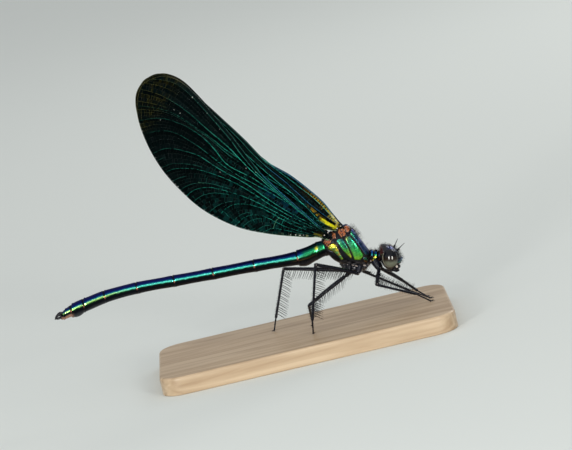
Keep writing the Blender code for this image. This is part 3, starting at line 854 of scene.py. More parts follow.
@dataclass(frozen=True)
class WoodFinish:
    """Pale close-grained wood with a satin lacquer, its grain running along X."""

    name: str = "pale_wood"
    light: Colour = (0.56, 0.42, 0.27)
    dark: Colour = (0.36, 0.24, 0.135)
    stretch: Point3 = (60.0, 900.0, 900.0)
    pore_stretch: Point3 = (900.0, 9000.0, 9000.0)
    coat: float = 0.15
    coat_roughness: float = 0.25

    def build(self) -> bpy.types.Material:
        """Make the material.

        Returns:
            A material with streaks, fine pores and a soft lacquer.
        """
        material, sketch, shader = open_material(
            self.name, {"Coat Weight": self.coat, "Coat Roughness": self.coat_roughness})
        place = sketch.add("ShaderNodeTexCoord")
        stretched = sketch.add("ShaderNodeMapping", {
            "Vector": place.outputs["Object"], "Scale": self.stretch})
        streaks = sketch.add("ShaderNodeTexNoise", {
            "Vector": stretched.outputs[0], "Scale": 1.0, "Detail": 5.0, "Distortion": 0.6})
        ramp = sketch.add("ShaderNodeMapRange", {
            "Value": streaks.outputs[0], "From Min": 0.35, "From Max": 0.7})
        tone = sketch.add("ShaderNodeMix", {
            0: ramp.outputs[0], 6: (*self.light, 1.0), 7: (*self.dark, 1.0)},
            data_type="RGBA")
        pores = sketch.add("ShaderNodeMapping", {
            "Vector": place.outputs["Object"], "Scale": self.pore_stretch})
        pits = sketch.add("ShaderNodeTexNoise", {
            "Vector": pores.outputs[0], "Scale": 1.0, "Detail": 2.0})
        bump = sketch.add("ShaderNodeBump", {
            "Strength": 0.25, "Distance": 0.00005, "Height": pits.outputs[0]})
        rough = sketch.add("ShaderNodeMapRange", {
            "Value": pits.outputs[0], "To Min": 0.34, "To Max": 0.52})
        link = material.node_tree.links.new
        link(tone.outputs[2], shader.inputs["Base Color"])
        link(bump.outputs[0], shader.inputs["Normal"])
        link(rough.outputs[0], shader.inputs["Roughness"])
        return material


class Paintbox:
    """The finished materials by finish, each built once."""

    made: dict[str, bpy.types.Material] = {}

    @classmethod
    def get(cls, finish: Finish | WoodFinish) -> bpy.types.Material:
        """Give a finish's material, building it the first time.

        Args:
            finish: The finish.

        Returns:
            Its material.
        """
        if finish.name not in cls.made:
            cls.made[finish.name] = finish.build()
        return cls.made[finish.name]


def plant(name: str, roots: Array, aims: Array, leans: Array, long: Array, thick: Array,
          finish: Finish, slot: Slot, bake_places: Array, rings: int = 3,
          bend: float = 0.15) -> bpy.types.Object:
    """Plant one bristle or hair at each root and dress them as one piece.

    Args:
        name: The piece's name.
        roots: Where each one starts, in millimetres.
        aims: The way each one points.
        leans: The way each one bends.
        long: Each one's length in millimetres.
        thick: Each one's radius at its root in millimetres.
        finish: The finish.
        slot: The record's slot.
        bake_places: Each root's place from 0 to 1 on an unwrap of the skin.
        rings: How many lengths each one is bent in.
        bend: How far the tip bends, as a share of the length.

    Returns:
        The piece, already riding on the body.
    """
    seed = new_piece(f"{name}_seed", roots, [])
    store_vectors(seed.data, "aim", aims)
    store_vectors(seed.data, "lean", leans)
    store_vectors(seed.data, "size", np.column_stack([thick, thick, long]) * MM)
    piece = grow(Kit.bristle, name, seed, Rings=rings,
                 Bend=bend * float(np.mean(long / thick)), Finish=Paintbox.get(finish))
    each = len(piece.data.vertices) // len(roots)
    sheet = piece.data.uv_layers.new(name="OFBake")
    corners = np.empty(len(piece.data.loops), np.int32)
    piece.data.loops.foreach_get("vertex_index", corners)
    owner = corners // each
    local = corners % each
    turns = local * BAKE_TURN
    spread = np.column_stack([np.cos(turns), np.sin(turns)]) * BAKE_SPREAD
    sheet.data.foreach_set("uv", (bake_places[owner] + spread).astype(np.float32).ravel())
    hand_over(piece, slot)
    return piece


# Wings

@dataclass(frozen=True)
class Vein:
    """A main vein, as the points it runs through in (along, forward) millimetres.

    Where parent is named, the vein shares its parent's line as far as leaves_at. The
    points are the hindwing's, and fore gives the forewing's own where they differ.
    """

    name: str
    points: tuple[Point2, ...]
    parent: str = ""
    leaves_at: float = 0.0
    ridge: float = 0.06
    thick: float = 0.055
    fore: tuple[Point2, ...] = ()


HINDWING_VEINS = (
    Vein("r1", ((-0.5, -0.12), (0.9, -0.1), (5.7, 0.3), (10.5, 0.66), (13.3, 0.98),
                (16.5, 1.72), (19.4, 2.55), (25.6, 3.78), (28.6, 3.95), (30.8, 3.15),
                (31.9, 2.2)), ridge=0.09, thick=0.06,
         fore=((-0.5, -0.05), (0.9, -0.05), (2.4, 0.0), (4.2, 0.11), (5.8, 0.26), (7.3, 0.49),
               (8.8, 0.72), (10.3, 0.94), (13.1, 1.2), (16.0, 1.7), (18.2, 2.25),
               (22.0, 2.95), (25.4, 3.42), (28.8, 3.82), (31.0, 3.35), (32.7, 2.2))),
    Vein("rp1", ((-0.5, -0.16), (1.6, 0.0), (3.2, 0.1), (5.2, 0.17), (7.2, 0.27), (9.0, 0.37),
                 (11.0, 0.5), (13.0, 0.66), (14.8, 0.86), (17.4, 1.3), (19.0, 1.46),
                 (22.3, 1.65), (24.6, 1.87), (27.2, 1.85), (29.8, 1.45), (32.1, 0.6)),
         ridge=0.06, thick=0.055,
         fore=((-0.5, -0.16), (1.2, -0.75), (3.3, -0.9), (5.4, -0.45), (6.8, -0.21),
               (8.3, 0.07), (10.6, 0.3), (13.7, 0.68), (17.0, 1.15), (20.0, 1.45),
               (25.0, 1.8), (29.5, 1.5), (32.9, 0.4))),
    Vein("rp2", ((18.5, 0.92), (21.0, 0.98), (24.0, 0.86), (26.0, 0.72), (27.5, 0.4),
                 (28.6, -0.05), (30.2, -0.9), (31.1, -1.5)), "rp1", 15.8, 0.05, 0.042),
    Vein("ir2", ((11.3, 0.14), (12.9, 0.05), (14.4, -0.21), (16.0, -0.52), (17.2, -0.53),
                 (18.2, -0.3), (19.3, 0.01), (20.7, 0.28), (21.9, 0.38), (23.2, 0.34),
                 (24.6, 0.18), (25.6, -0.11), (26.7, -0.45), (28.2, -1.35), (29.5, -2.7)),
         "rp1", 9.4, 0.06, 0.05),
    Vein("rp3", ((9.0, -0.02), (12.0, -0.42), (15.0, -0.88), (17.5, -1.02), (20.7, -0.92),
                 (22.9, -1.05), (24.1, -1.2), (25.1, -1.42), (26.1, -1.9), (27.3, -2.95),
                 (28.0, -4.1)), "rp1", 6.4, 0.05, 0.045),
    Vein("ma", ((4.0, -0.35), (7.1, -0.82), (9.1, -0.97), (10.7, -1.05), (12.2, -1.06),
                (14.1, -1.22), (15.9, -1.5), (17.9, -1.74), (20.1, -1.85), (21.1, -2.05),
                (22.3, -2.49), (23.6, -3.07), (24.8, -3.92), (25.6, -5.3)),
         "rp1", 1.6, 0.06, 0.05),
    Vein("mp", ((3.2, -0.5), (6.0, -1.05), (9.0, -1.42), (11.5, -1.58), (13.7, -1.8),
                (15.5, -2.13), (17.6, -2.73), (19.4, -3.39), (20.4, -3.94), (21.4, -4.64),
                (22.3, -5.5), (22.7, -6.3)), "rp1", 0.6, 0.05, 0.048),
    Vein("cu1", ((2.8, -0.75), (5.5, -1.42), (8.5, -1.9), (11.5, -2.42), (14.1, -3.22),
                 (15.6, -3.82), (16.6, -4.27), (17.4, -4.86), (18.1, -5.63), (18.5, -6.51),
                 (18.6, -7.2)), "mp", 1.2, 0.05, 0.045),
    Vein("cu2", ((-0.5, -0.28), (1.0, -0.55), (2.2, -0.95), (4.5, -1.65), (6.5, -2.05),
                 (8.1, -2.25), (9.4, -2.45), (10.5, -2.8), (11.7, -3.39), (12.8, -4.25),
                 (13.4, -5.45), (13.6, -6.9)), ridge=0.05, thick=0.045),
    Vein("a1", ((-0.5, -0.42), (0.8, -0.72), (2.0, -1.2), (3.8, -1.95), (6.0, -2.65),
                (8.4, -3.1), (9.5, -3.55), (10.3, -4.25), (10.8, -5.2), (11.0, -6.5)),
         ridge=0.05, thick=0.042),
    Vein("a2", ((-0.5, -0.52), (0.8, -0.85), (2.4, -1.6), (4.4, -2.55), (6.0, -3.3),
                (7.0, -4.0), (7.5, -5.05)), ridge=0.04, thick=0.04),
)
FORE_CROWDING = ((0.0, 1.0), (1.2, 0.32), (3.3, 0.477), (5.4, 0.672), (6.8, 0.743), (8.3, 0.81),
                 (10.6, 0.865), (13.7, 0.963), (20.0, 1.0))
SUBCOSTA = ((-0.5, -0.02), (0.9, 0.0), (5.7, 0.36), (10.5, 0.78))
FORE_SUBCOSTA = ((-0.5, 0.0), (0.9, 0.05), (1.4, 0.18), (2.83, 0.6), (4.4, 0.95), (6.0, 1.2),
                 (7.3, 1.3), (10.0, 1.5))


@dataclass(frozen=True)
class WingPlan:
    """One pair of wings: its root and direction in the side view, outline and stand-off."""

    kind: str
    root: Point2
    direction: float
    leading: tuple[Point2, ...]
    tip: Point2
    trailing: tuple[Point2, ...]
    nodus: float
    side_at_root: float
    side_at_tip: float

    def edges(self, along: Array) -> tuple[Array, Array]:
        """Read the forward places of the front and rear edge at places along the wing.

        Args:
            along: Distances from the root.

        Returns:
            The places of the front edge and of the rear edge.
        """
        front = np.array((*self.leading, self.tip))
        rear = np.array((*self.trailing, self.tip))
        return np.interp(along, *front.T), np.interp(along, *rear.T)

    def outline(self) -> Array:
        """Trace the edge from the front root round the tip to the rear root."""
        points = (*self.leading, self.tip, *reversed(self.trailing))
        return spline(points, 900)

    def in_space(self, flat: Array, side: Side) -> Array:
        """Turn (along, forward, pleat) into places in the model's frame.

        Args:
            flat: Points as (along, forward, pleat), one row each.
            side: The wing's side.

        Returns:
            Points in millimetres, one row each.
        """
        angle = math.radians(self.direction)
        share = smooth(0.0, 2.4, flat[:, 0])
        stand = self.side_at_root + (self.side_at_tip - self.side_at_root) * share
        camber = 0.1 * np.sin(flat[:, 1] * 0.75 + 0.4) * smooth(2.0, 9.0, flat[:, 0])
        return np.column_stack([
            self.root[0] + flat[:, 0] * math.cos(angle) + flat[:, 1] * math.sin(angle),
            side.value * (stand + camber + flat[:, 2]),
            self.root[1] + flat[:, 0] * math.sin(angle) - flat[:, 1] * math.cos(angle)])


HINDWING = WingPlan(
    "hindwing", (12.35, 14.45), 129.56,
    ((-0.5, 0.02), (0.0, 0.04), (0.9, 0.1), (5.7, 0.47), (10.5, 0.92), (13.3, 1.36),
     (19.4, 3.0), (25.6, 4.25), (28.4, 4.5), (30.4, 3.95), (31.5, 2.9)),
    (32.25, 1.25),
    ((-0.5, -0.6), (0.0, -0.7), (1.2, -1.1), (2.7, -2.16), (6.6, -4.58), (10.8, -6.47),
     (15.8, -7.35), (20.6, -6.93), (24.3, -5.97), (27.6, -4.43), (30.2, -2.6), (31.7, -0.6)),
    13.3, 1.12, 1.47)
FOREWING = WingPlan(
    "forewing", (14.3, 15.02), 133.06,
    ((-0.5, 0.1), (0.0, 0.16), (0.7, 0.28), (2.2, 0.74), (4.7, 1.44), (9.5, 1.88),
     (13.6, 1.69), (17.9, 2.58), (25.4, 3.8), (28.8, 4.32), (31.2, 3.92), (32.5, 2.9)),
    (33.1, 0.95),
    ((-0.5, -0.5), (0.0, -0.62), (2.0, -1.65), (5.0, -3.55), (9.5, -5.95), (14.0, -7.25),
     (18.5, -7.6), (23.5, -6.7), (27.5, -5.05), (30.6, -3.1), (32.6, -1.0)),
    13.66, 0.62, 0.5)


@dataclass
class WingNet:
    """The vein network of a wing, worked out flat as (along, forward, pleat).

    A strip wider than widest gets one more vein down its middle, until deepest veins lie
    within each other. Cross-veins stand a step apart, give or take the jitter.
    """

    plan: WingPlan
    widest: float = 0.74
    step: float = 0.33
    edge_step: float = 0.52
    deepest: int = 5
    gold_strip: float = 0.45
    jitter: float = 0.22
    fine_step: float = 0.04
    window: int = 60
    vein_step: float = 0.25
    fold: float = 0.055
    narrowest: float = 0.05
    shortest_cross: float = 0.12
    cross_radii: Point2 = (0.019, 0.026)
    lines: list[tuple[Array, Array, str]] = field(default_factory=list)
    cells: list[Array] = field(default_factory=list)

    def __post_init__(self) -> None:
        """Lay out the whole network."""
        self.draw = np.random.default_rng(len(self.plan.kind))
        edge = self.plan.outline()
        self.edge = np.column_stack([edge, np.zeros(len(edge))])
        self.build()

    def fitted(self, points: Sequence[Point2]) -> Array:
        """Fit points given for the hindwing between this wing's own edges.

        Args:
            points: The hindwing's points.

        Returns:
            This wing's points, one row each.
        """
        flat = np.asarray(points, float)
        front, rear = HINDWING.edges(flat[:, 0])
        share = (flat[:, 1] - rear) / (front - rear)
        along = flat[:, 0].copy()
        reach = self.plan.tip[0] / HINDWING.tip[0]
        along = np.where(along > 0, along * reach, along)
        if self.plan is FOREWING:
            share *= np.interp(along, *np.array(FORE_CROWDING).T)
        front, rear = self.plan.edges(along)
        return np.column_stack([along, rear + share * (front - rear)])

    def edge_place(self, point: Array) -> int:
        """Find the edge sample nearest to a point."""
        return int(np.argmin(np.linalg.norm(self.edge[:, :2] - point[:2], axis=1)))

    def pleated(self, flat: Array, ridge: float, ends_on_edge: bool = True) -> Array:
        """Give a flat line its pleat, fading in from the root and out at the edge.

        Args:
            flat: The line as (along, forward).
            ridge: How high it stands.
            ends_on_edge: True if it ends on the wing's edge.

        Returns:
            The line as (along, forward, pleat).
        """
        along = lengths_along(flat)
        height = ridge * smooth(0.5, 4.0, flat[:, 0])
        if ends_on_edge:
            height *= 1 - smooth(along[-1] - 1.2, along[-1], along)
        return np.column_stack([flat, height])

    def closed(self, front: Array, rear: Array) -> tuple[Array, Array]:
        """Lengthen the shorter of two lines along the edge, so that both end together.

        Args:
            front: The line in front.
            rear: The line behind.

        Returns:
            Both lines, one of them lengthened.
        """
        first, last = self.edge_place(front[-1]), self.edge_place(rear[-1])
        if last - first < 2:
            return front, rear
        between = self.edge[first:last + 1:4]
        heading = front[-1] - front[-4]
        if (between[-1] - between[0]) @ heading < 0:
            return front, np.vstack([rear, between[::-1]])
        return np.vstack([front, between]), rear

    def pair(self, front: Array, rear: Array, step: float) -> tuple[Array, Array]:
        """Step along the longer line and match each place with the nearest on the other.

        Args:
            front: The line in front.
            rear: The line behind.
            step: How far apart the places are.

        Returns:
            The places on the front line and on the rear line.
        """
        swap = lengths_along(rear)[-1] > lengths_along(front)[-1]
        lead, other = (rear, front) if swap else (front, rear)
        length = lengths_along(lead)[-1]
        count = max(int(length / step), 2)
        places = np.linspace(0, length, count + 1)
        places[1:-1] += self.draw.uniform(-self.jitter, self.jitter, count - 1) * step
        marks = read_line(lead, places)
        fine = even_line(other, max(int(lengths_along(other)[-1] / self.fine_step), 8))
        chosen = [0]
        for mark in marks[1:-1]:
            window = fine[chosen[-1]:chosen[-1] + self.window]
            chosen.append(chosen[-1] + int(np.argmin(np.linalg.norm(window - mark, axis=1))))
        chosen.append(len(fine) - 1)
        matched = fine[chosen]
        return (matched, marks) if swap else (marks, matched)

    def ladder(self, marks: Array, matched: Array) -> None:
        """Lay the cells between two matched rows of places, and the cross-veins.

        Args:
            marks: The places in front.
            matched: The places behind.
        """
        widths = np.linalg.norm(marks - matched, axis=1)
        for index in range(len(marks) - 1):
            if max(widths[index], widths[index + 1]) < self.narrowest:
                continue
            self.cells.append(np.array([marks[index], marks[index + 1],
                                        matched[index + 1], matched[index]]))
            if widths[index] > self.shortest_cross:
                radius = self.draw.uniform(*self.cross_radii)
                self.lines.append((np.array([marks[index], matched[index]]),
                                   np.full(2, radius), "cross"))

    def fill(self, front: Array, rear: Array, level: int = 0, on_edge: bool = True) -> None:
        """Fill the strip between two lines, putting a new vein in wherever it is wide.

        Args:
            front: The line in front.
            rear: The line behind.
            level: How many new veins this strip lies within.
            on_edge: True if both lines end on the wing's edge.
        """
        near, far = self.closed(front, rear) if on_edge else (front, rear)
        step = self.step * (1.0 if on_edge else self.edge_step)
        marks, matched = self.pair(near, far, step)
        wide = np.flatnonzero(np.linalg.norm(marks - matched, axis=1) > self.widest)
        if level > self.deepest or len(wide) == 0 or len(marks) - wide[0] < 4:
            self.ladder(marks, matched)
            return
        start = int(wide[0])
        self.ladder(marks[:start + 1], matched[:start + 1])
        first = self.rest_of(front, near, marks[start])
        second = self.rest_of(rear, far, matched[start])
        count = max(int(lengths_along(first)[-1] / self.vein_step), 6)
        share = np.linspace(0, 1, count)[:, None]
        middle = (even_line(first, count) + even_line(second, count)) / 2
        if on_edge:
            ends = [self.edge_place(first[-1]), self.edge_place(second[-1])]
            target = self.edge[sum(ends) // 2]
            middle = middle + share**3 * (target - middle[-1])
        ridge = -self.fold if middle[:, 2].mean() > 0 else self.fold
        begin = smooth(0.0, 1.5, lengths_along(middle))
        fade = 1 - smooth(0.8, 1.0, share[:, 0])
        middle[:, 2] = middle[:, 2] * (1 - begin) + ridge * begin * fade
        radius = np.interp(share[:, 0], [0, 0.1, 1], [0.02, 0.032, 0.028])
        self.lines.append((middle, radius, "between"))
        self.fill(first, middle, level + 1, on_edge)
        self.fill(middle, second, level + 1, on_edge)

    @staticmethod
    def rest_of(line: Array, lengthened: Array, start: Array) -> Array:
        """Give what is left of a line past a place, from the lengthened one if need be.

        Args:
            line: The line itself.
            lengthened: The line as lengthened.
            start: The place.

        Returns:
            The rest, from the place on.
        """
        nearest = int(np.argmin(np.linalg.norm(lengthened - start, axis=1)))
        whole = line if nearest < len(line) - 3 else lengthened
        nearest = min(nearest, len(whole) - 2)
        return np.vstack([start, whole[nearest + 1:]])

    def build(self) -> None:
        """Draw the main veins, then fill every strip between them."""
        made: dict[str, Array] = {}
        for vein in HINDWING_VEINS:
            own_points = vein.fore if self.plan is FOREWING else ()
            flat = np.array(own_points) if own_points else self.fitted(vein.points)
            if vein.parent:
                stem = made[vein.parent]
                flat = np.vstack([stem[stem[:, 0] < vein.leaves_at][::8, :2], flat])
            place = self.edge_place(flat[-1])
            flat[-1] = self.edge[place, :2]
            flat = spline(flat, 260)
            made[vein.name] = self.pleated(flat, vein.ridge)
            own = made[vein.name]
            if vein.parent:
                own = own[own[:, 0] >= vein.leaves_at - 0.1]
            share = np.linspace(0, 1, len(own))
            thick = vein.thick * np.interp(share, [0, 0.3, 1], [0.5, 0.66, 0.5])
            self.lines.append((own[::2], thick[::2], vein.name))
        nodus = self.edge_place(np.array([self.plan.nodus, self.plan.edges(self.plan.nodus)[0]]))
        sub = spline([*(FORE_SUBCOSTA if self.plan is FOREWING else SUBCOSTA),
                      self.edge[nodus, :2]], 140)
        sub = self.pleated(sub, -0.07, ends_on_edge=False)
        self.lines.append((sub, np.full(len(sub), 0.036), "sc"))
        radius_vein = made["r1"]
        turn = int(np.argmin(np.linalg.norm(radius_vein[:, :2] - self.edge[nodus, :2], axis=1)))
        self.fill(self.edge[:nodus + 1], sub, on_edge=False)
        self.fill(sub, radius_vein[:turn + 1], on_edge=False)
        self.fill(self.edge[nodus:self.edge_place(radius_vein[-1]) + 1], radius_vein[turn:])
        order = [made[vein.name] for vein in HINDWING_VEINS]
        coarse = self.widest
        for number, (front, rear) in enumerate(zip(order, order[1:])):
            self.widest = self.gold_strip if number == 0 and self.plan is FOREWING else coarse
            self.fill(front, rear)
        last = self.edge_place(order[-1][-1])
        self.fill(order[-1], self.edge[last:][::-1])
        rim = self.edge[::3]
        place = np.linspace(0, 1, len(rim))
        thick = np.interp(place, [0, 0.1, 0.38, 0.55, 1], [0.06, 0.05, 0.04, 0.03, 0.03])
        self.lines.append((rim, thick, "edge"))
        knob = self.edge[nodus - 9:nodus + 10:3]
        self.lines.append((knob, np.array([0.04, 0.07, 0.09, 0.1, 0.09, 0.07, 0.04]), "nodus"))


# (x, y, z, size) of the pale knobs among the wing roots, which are partly pale hinge skin and
# partly painted highlights, and of the folds of soft skin between the leg roots
ROOT_KNOBS_AND_GLINTS = ((13.53, 1.22, 15.23, 0.1), (12.2, 1.22, 14.95, 0.09), (11.66, 1.22, 14.72, 0.09),
              (14.05, 1.22, 15.42, 0.08), (12.75, 1.22, 15.05, 0.07))
SKIN_FOLDS = ((14.07, 1.3, 10.9, 0.13), (13.9, 1.12, 10.03, 0.15), (13.14, 1.0, 10.6, 0.13),
              (14.47, 1.22, 9.86, 0.12), (14.9, 1.24, 9.66, 0.13), (15.98, 1.14, 9.47, 0.14),
              (16.9, 0.72, 9.78, 0.13), (17.55, 0.72, 8.72, 0.15))


def small_balls(name: str, finish: Finish, rows: Sequence[tuple[float, ...]], shape: Point3,
                axes: Array | None) -> None:
    """Set small balls on both sides of the body, as one piece.

    Args:
        name: The piece's name.
        finish: The finish.
        rows: Place and size of each ball on the left side.
        shape: A ball's three half sizes for a size of one.
        axes: The directions of its half sizes, or None for the frame's.
    """
    balls = Shell()
    for x, y, z, size in rows:
        for side in Side:
            balls.add_ball((x, side.value * y, z), [size * part for part in shape], axes, 14)
    hand_over(balls.piece(name, Paintbox.get(finish)), Slot.BODY)


# (along, forward, size) of the dust, and (points, radius) of the folds in the film
WING_DUST = ((25.99, 3.84, 0.09), (26.94, 1.06, 0.06), (26.02, 1.16, 0.06), (20.52, 2.64, 0.05),
             (17.0, -1.94, 0.06), (14.56, 0.57, 0.05), (13.23, 0.91, 0.05), (23.17, 3.33, 0.05),
             (27.52, -1.14, 0.05), (11.88, 0.57, 0.04), (4.34, -3.02, 0.07), (3.8, -2.62, 0.08),
             (3.3, -2.3, 0.09), (2.95, -2.02, 0.06))
WING_FOLDS = ((((18.52, -4.78), (18.12, -4.64), (17.81, -4.41)), 0.012),
              (((6.89, -2.01), (7.04, -2.54), (6.94, -3.03), (6.71, -3.71)), 0.017))


@dataclass
class Wings:
    """The four wings, closed over the back."""

    plans: tuple[WingPlan, ...] = (FOREWING, HINDWING)
    film: float = 0.018

    @staticmethod
    def cell_shades(plan: WingPlan, centres: Array) -> Array:
        """Choose each cell's tint from its place and a seeded draw, with painted glints on some
        cells.

        Args:
            plan: The wing's plan.
            centres: The cells' middles.

        Returns:
            A colour for each cell.
        """
        draw = np.random.default_rng(41)
        along, forward = centres[:, 0], centres[:, 1]
        front, rear = plan.edges(along)
        chance = draw.uniform(0, 1, len(along))
        share = (forward - rear) / (front - rear + 1e-6)
        base = 0.52 * smooth(24, 10, along) * smooth(0.95, 0.55, share) + 0.08
        base = base * smooth(0.5, 6.0, along)
        # Painted glints: some cells in the inner rear part are painted brighter teal.
        painted_cell_glint = np.where(chance < base, draw.uniform(0.35, 1.0, len(along)), 0.0)
        painted_cell_glint = painted_cell_glint * painted_cell_glint * smooth(23, 12, along)
        shades = mix((0.0003, 0.0007, 0.0009), (0.0014, 0.018, 0.016), painted_cell_glint)
        patch = bell(forward, -0.25, 0.45) * smooth(3.5, 6.0, along) * smooth(12.5, 10.5, along)
        if plan.kind == "hindwing":
            shades = mix(shades, (0.002, 0.028, 0.05), patch * draw.uniform(0.0, 1, len(along))**2)
        tip = smooth(26.8, 30.2, along) * draw.uniform(0.0, 1, len(along))**4
        shades = mix(shades, (0.013, 0.011, 0.001), 0.8 * tip)
        if plan.kind == "forewing":
            depth = front - forward
            gold = smooth(0.4, 0.9, along) * smooth(9.0, 6.0, along) * smooth(0.6, 0.5, depth)
            tone = mix((0.55, 0.42, 0.03), (0.34, 0.2, 0.012), smooth(2.5, 4.5, along))
            tone = mix(tone, (0.06, 0.024, 0.004), smooth(4.8, 7.5, along))
            bars = np.where(np.sin(math.tau * along / 0.4) > -0.2, 1.0, 0.15)
            shades = mix(shades, tone, gold * bars * draw.uniform(0.5, 1, len(along)))
            pale = bell(depth, 0.22, 0.18) * smooth(0.7, 0.9, along) * smooth(3.4, 2.0, along)
            shades = mix(shades, (0.8, 0.72, 0.35), 0.6 * pale * (chance > 0.4))
            streak = bell(forward, -0.62, 0.15) * smooth(0.6, 1.0, along) * smooth(3.4, 2.9, along)
            shades = mix(shades, (0.62, 0.56, 0.01), np.clip(1.7 * streak, 0, 1))
            trail = bell(forward, -0.62 + 0.2 * (along - 3.0), 0.15) * smooth(2.8, 3.2, along)
            trail = trail * smooth(6.0, 4.0, along) * (chance > 0.35)
            shades = mix(shades, (0.3, 0.18, 0.01), np.clip(1.3 * trail, 0, 1))
        else:
            streak = bell(forward, -0.55 - 0.4 * (along - 1.0), 0.12) * smooth(0.7, 1.0, along)
            streak = streak * smooth(2.1, 1.7, along)
            shades = mix(shades, (0.16, 0.13, 0.01), np.clip(1.2 * streak, 0, 1))
        fringe = smooth(0.3, 0.1, forward - rear) * smooth(6.0, 3.0, along)
        flecks = fringe * (draw.uniform(0, 1, len(along)) > 0.6)
        return mix(shades, (0.3, 0.32, 0.16), 0.6 * flecks)

    @staticmethod
    def vein_shades(plan: WingPlan, line: Array, kind: str, luck: float) -> Array:
        """Choose a vein's colour and its painted glints along it; luck from 0 to 1 varies the fine
        ones.

        Args:
            plan: The wing's plan.
            line: The vein as (along, forward, pleat).
            kind: The vein's name or kind.
            luck: Its draw from 0 to 1.

        Returns:
            A colour for each of the vein's points.
        """
        along, forward = line[:, 0], line[:, 1]
        front, rear = plan.edges(along)
        depth = front - forward
        outer = smooth(15, 27, along)
        if kind == "cross":
            # Painted glints: cross-veins in the inner rear part are painted bright teal in random
            # clumps.
            zone = smooth(23, 12, along) * smooth(0.8, 2.2, depth)
            clump = smooth(0.15, 0.65, wave_noise(line, 0.33, 77))
            shades = mix((0.0003, 0.002, 0.002), (0.01, 0.34, 0.26), zone * luck * clump)
            patch = bell(forward, -0.25, 0.5) * smooth(3.5, 6.0, along) * smooth(12.5, 10.5, along)
            shades = mix(shades, (0.006, 0.08, 0.17), patch * luck**2)
        elif kind == "between":
            # Painted light: veins on a ridge are painted as lit and veins in a valley as in shade.
            painted_ridge_glint = 0.5 if line[len(line) // 2, 2] > 0 else 0.06
            shades = mix((0.01, 0.25, 0.18), (0.003, 0.07, 0.05), outer) * painted_ridge_glint
        else:
            shades = mix((0.014, 0.36, 0.26), (0.003, 0.09, 0.06), outer)
        inner = smooth(15.0, 11.0, along)
        if kind == "edge":
            tone = (0.006, 0.1, 0.18) if plan.kind == "hindwing" else (0.003, 0.085, 0.14)
            shades = mix(shades * 0.18, tone, inner * smooth(2.2, 1.2, depth))
            shades = shades * (1 - 0.5 * smooth(16, 24, along))[:, None]
        if kind == "r1":
            if plan.kind == "forewing":
                shades = mix(shades, (0.006, 0.09, 0.22), 0.9 * inner)
            else:
                shades = shades * (1 - 0.4 * inner)[:, None]
            shades = shades * (1 - 0.6 * smooth(13, 14, along))[:, None]
        if kind == "sc" and plan.kind == "hindwing":
            shades = shades * (1 - 0.85 * smooth(12, 9, along))[:, None]
        if kind == "nodus":
            shades = shades * 0.3
        reach = 3.6 if kind in ("edge", "sc", "r1") else 6.5
        shades = shades * (0.02 + 0.98 * smooth(0.2, reach, along))[:, None]
        gold = smooth(27.0, 29.5, along)
        shades = mix(shades, (0.06, 0.053, 0.006), gold * luck)
        if kind in ("between", "cross"):
            shades = mix(shades, (0.004, 0.004, 0.002), 0.85 * gold * (luck < 0.5))
        if plan.kind == "forewing" and kind == "cross":
            base = smooth(0.5, 1.0, along) * smooth(8.6, 6.0, along) * smooth(1.2, 0.8, depth)
            shades = mix(shades, (0.006, 0.003, 0.001), base)
        fringe = smooth(0.25, 0.05, forward - rear) * smooth(9.0, 4.0, along)
        return mix(shades, (0.3, 0.45, 0.25), 0.7 * fringe)

    def membrane(self, plan: WingPlan, net: WingNet, side: Side) -> bpy.types.Object:
        """Build the cells as two thin dished sheets.

        Args:
            plan: The wing's plan.
            net: Its network.
            side: The wing's side.

        Returns:
            The piece.
        """
        corners = np.array(net.cells)
        centres = corners.mean(axis=1)
        draw = np.random.default_rng(7)
        dished = centres.copy()
        dished[:, 2] += draw.uniform(-0.05, 0.03, len(centres))
        tilt = draw.normal(0, 0.012, (len(centres), 4))
        count = len(centres)
        points, faces = [], []
        for layer in (self.film, -self.film):
            sheet = np.concatenate([corners, dished[:, None]], axis=1)
            sheet[:, :4, 2] += tilt + layer
            sheet[:, 4, 2] += layer
            points.append(sheet.reshape(-1, 3))
        order = (0, 1, 2, 3) if side is Side.LEFT else (3, 2, 1, 0)
        for layer, turn in ((0, order), (1, order[::-1])):
            base = layer * count * 5
            for cell in range(count):
                first = base + cell * 5
                faces.extend((first + turn[k], first + turn[(k + 1) % 4], first + 4)
                             for k in range(4))
        shell = plan.in_space(np.vstack(points), side)
        piece = new_piece(f"{plan.kind}_{side.word}_membrane", shell, faces,
                          Paintbox.get(MEMBRANE), sharp=30)
        shades = np.repeat(self.cell_shades(plan, centres), 4, axis=0)
        paint(piece.data, "shade", np.vstack([shades, shades]), "FACE")
        return piece

    def veins(self, plan: WingPlan, net: WingNet, side: Side) -> bpy.types.Object:
        """Build the veins as swept round rods.

        Args:
            plan: The wing's plan.
            net: Its network.
            side: The wing's side.

        Returns:
            The piece.
        """
        points, edges, radii, shades = [], [], [], []
        count = 0
        draw = np.random.default_rng(19)
        for line, thick, kind in net.lines:
            points.append(line)
            radii.append(thick)
            shades.append(self.vein_shades(plan, line, kind, float(draw.uniform())))
            edges.extend((count + k, count + k + 1) for k in range(len(line) - 1))
            count += len(line)
        places = plan.in_space(np.vstack(points), side)
        mesh = bpy.data.meshes.new("wire")
        mesh.from_pydata((places * MM).tolist(), edges, [])
        store(mesh, "thickness", np.concatenate(radii) * MM)
        paint(mesh, "shade", np.vstack(shades))
        return grow(Kit.vein, f"{plan.kind}_{side.word}_veins", placed("wire", mesh), Sides=5,
                    Finish=Paintbox.get(VEIN))

